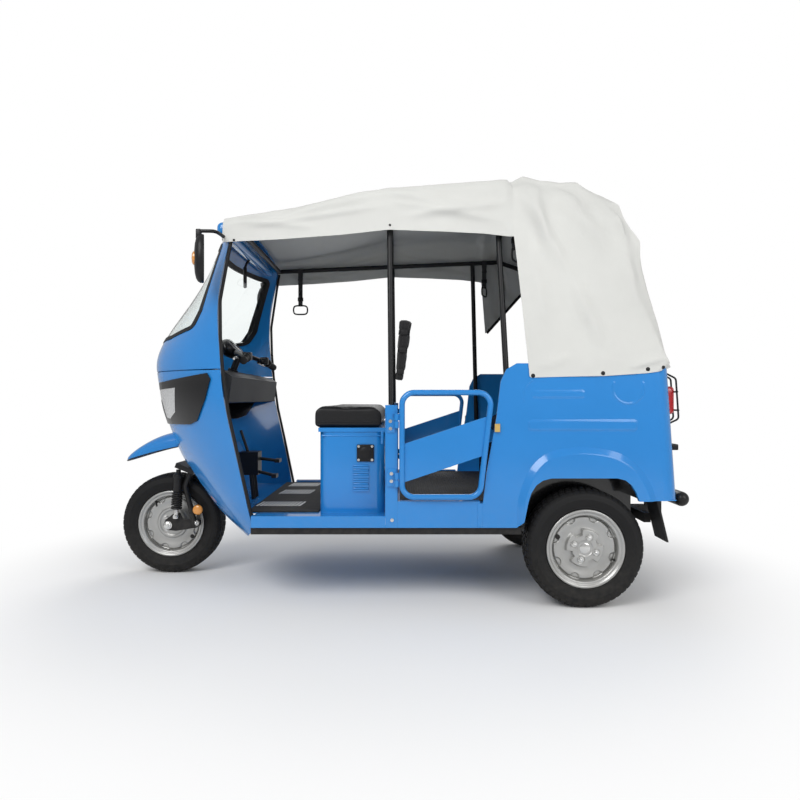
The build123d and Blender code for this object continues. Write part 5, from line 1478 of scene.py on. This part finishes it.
def make_charge_cover(bolts):
    """The square cover over the charging port, with a round cap and four bolts."""
    cover = bmesh.new()
    low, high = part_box("charge_cover")
    slab(cover, (low[0], low[1] - 0.001, low[2]), high, 0.0035, 3)
    lathe(cover, COVER_DISC, ((low[0] + high[0]) / 2, high[1], (low[2] + high[2]) / 2), 48)
    for x in (low[0] + COVER_INSET, high[0] - COVER_INSET):
        for z in (low[2] + COVER_INSET, high[2] - COVER_INSET):
            bolt(bolts, (x, high[1] - 0.0005, z), (0, 1, 0), 0.0040)
    finish_piece(cover, "charge_flap", finishes["cover_black"], "chassis",
                 stands_for=("charge_cover",))
    finish_piece(bolts, "body_bolts", bright_steel, "chassis")


def make_pressings():
    """Louvre hoods and a seam on the seat box, and the roof's crowned lip over the windscreen."""
    box = bmesh.new()
    for side in SIDES:
        inner, outer = side * LOUVRE_Y - LOUVRE_HALF, side * LOUVRE_Y + LOUVRE_HALF
        for step in range(LOUVRES):
            z = LOUVRE_Z + LOUVRE_PITCH * step
            slab(box, (0.062, inner, z + 0.0030), (0.132, outer, z + 0.0125), 0.0045, 4)
        slab(box, (0.002, side * 0.4950 - 0.0022, 0.7225), (0.272, side * 0.4950 + 0.0022, 0.7285), 0.0020, 3)
    slab(box, (-0.002, 0.4955, 0.690), (0.010, 0.5020, 0.744), 0.0020)
    finish_piece(box, "seat_box_pressings", finishes["body_blue"], "chassis")
    header = bmesh.new()
    for point in slab(header, HEADER_LOW, HEADER_HIGH, 0.024, 5):
        point.co.z += HEADER_CROWN * (1 - (point.co.y / HEADER_HIGH[1]) ** 2)
    finish_piece(header, "roof_header", finishes["body_blue"], "chassis")


make_charge_cover(make_fasteners())
make_pressings()


# The handlebar's ends, the instruments and the inside mirror.

BAR_UP = 0.932
GRIP_RIBS = 14
POD_SIZE, POD_TILT = (0.062, 0.108, 0.046, 1), math.radians(-30)
# The pod is pressed nearly flat past this distance along its face's normal.
POD_NORMAL, POD_FLAT, POD_PRESS = Vector((-0.72, 0, 0.69)).normalized(), 0.026, 0.92
DIAL = [(0, 0.0300), (0.040, 0.0300), (0.043, 0.0285), (0.043, 0.020), (0, 0.020)]
# The lever's places from the switch box: X, Y outwards, Z.
LEVER = [(0.034, 0, -0.004), (0.050, 0.030, -0.006), (0.046, 0.080, -0.012), (0.030, 0.135, -0.020)]
INNER_MIRROR, INNER_TURN = Vector((0.7285, 0, 1.514)), math.radians(13.9)
INNER_STEM = [(0.703, 0, 1.612), (0.720, 0, 1.590), (0.728, 0, 1.570), (0.729, 0, 1.550)]


def grip_profile(reach):
    """A ribbed grip with a collar: (radius, along)."""
    profile = [(0, -0.004), (0.010, -0.004), (0.0225, -0.004), (0.0225, 0.002)]
    for step in range(GRIP_RIBS):
        along = 0.006 + (reach - 0.018) * step / GRIP_RIBS
        profile += [(0.0172, along), (0.0182, along + 0.0020), (0.0172, along + 0.0045)]
    return profile + [(0.0185, reach - 0.008), (0.0185, reach - 0.002), (0.014, reach), (0, reach)]


def make_bar_ends():
    """Grips, switch boxes and brake levers."""
    grips, boxes = bmesh.new(), bmesh.new()
    for side in SIDES:
        inner, outer = in_head(-0.098, side * 0.238, BAR_UP), in_head(-0.118, side * 0.3475, BAR_UP - 0.014)
        aim, reach = (outer - inner).normalized(), (outer - inner).length
        lathe(grips, grip_profile(reach), inner, 36, axis=aim)
        start = inner - aim * 0.046
        slab(boxes, start - Vector((0.021, 0.019, 0.019)), start + Vector((0.021, 0.019, 0.020)), 0.006, 3)
        slab(boxes, start + Vector((0.010, -0.012, -0.014)), start + Vector((0.038, 0.012, 0.010)), 0.005, 3)
        tube(f"brake_lever_{HAND[side]}", [start + Vector((x, side * y, z)) for x, y, z in LEVER], 0.0050,
             bright_steel, "steering", smooth=True)
    finish_piece(grips, "grips", finishes["trim_rubber"], "steering", sharp=30)
    finish_piece(boxes, "switch_boxes", finishes["cover_black"], "steering")


def make_instruments():
    """A round pod with a flat face that carries one dial."""
    pod, face = bmesh.new(), bmesh.new()
    middle = in_head(0.050, 0, BAR_UP + 0.004)
    place = Matrix.Translation(middle) @ Matrix.Rotation(POD_TILT, 4, "Y") @ Matrix.Diagonal(POD_SIZE)
    for point in bmesh.ops.create_uvsphere(pod, u_segments=56, v_segments=32, radius=1, matrix=place)["verts"]:
        over = (point.co - middle).dot(POD_NORMAL) - POD_FLAT
        if over > 0:
            point.co -= POD_NORMAL * over * POD_PRESS
    lathe(face, DIAL, middle, 56, axis=POD_NORMAL)
    finish_piece(pod, "instrument_pod", finishes["cover_black"], "steering", sharp=35)
    finish_piece(face, "instrument_face", finishes["lamp_black"], "steering")


def make_inner_mirror():
    """The inside mirror under the header, turned to the driver, with its foot and stem."""
    shape = bmesh.new()
    there, back = Matrix.Translation(INNER_MIRROR), Matrix.Translation(-INNER_MIRROR)
    turn = there @ Matrix.Rotation(INNER_TURN, 4, "Z") @ back
    slab(shape, (0.7195, -0.085, 1.473), (0.7375, 0.085, 1.556), 0.008, 4, turn=turn)
    slab(shape, (0.690, -0.018, 1.606), (0.716, 0.018, 1.626), 0.004)
    finish_piece(shape, "inner_mirror", finishes["cover_black"], "chassis")
    tube("inner_mirror_stem", INNER_STEM, 0.0065, finishes["cover_black"], "chassis", smooth=True)


make_bar_ends()
make_instruments()
make_inner_mirror()


# The tail: bulged red lamps and the small box under them.

# From Y, to Y, on the left side.
LAMP_Y, LAMP_BOX_Y = (0.430, 0.516), (0.455, 0.525)
LENS_INSET = 0.004


def make_tail():
    """Red lamp lenses with a stepped rim, and a small black box each side."""
    lenses, black = bmesh.new(), bmesh.new()
    low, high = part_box("tail_lamps")
    for side in SIDES:
        inner, outer = sorted(side * y for y in LAMP_Y)
        slab(lenses, (-1.276, inner + LENS_INSET, low[2] + LENS_INSET),
             (-1.225, outer - LENS_INSET, high[2] - LENS_INSET), 0.016, 5)
        slab(black, (-1.245, inner, low[2]), (-1.228, outer, high[2]), 0.004)
        inner, outer = sorted(side * y for y in LAMP_BOX_Y)
        slab(black, (-1.286, inner, 0.664), (-1.246, outer, 0.690), 0.004)
    finish_piece(lenses, "tail_lenses", finishes["lamp_red"], "chassis", stands_for=("tail_lamps",))
    finish_piece(black, "tail_lamp_bases", finishes["cover_black"], "chassis")


make_tail()
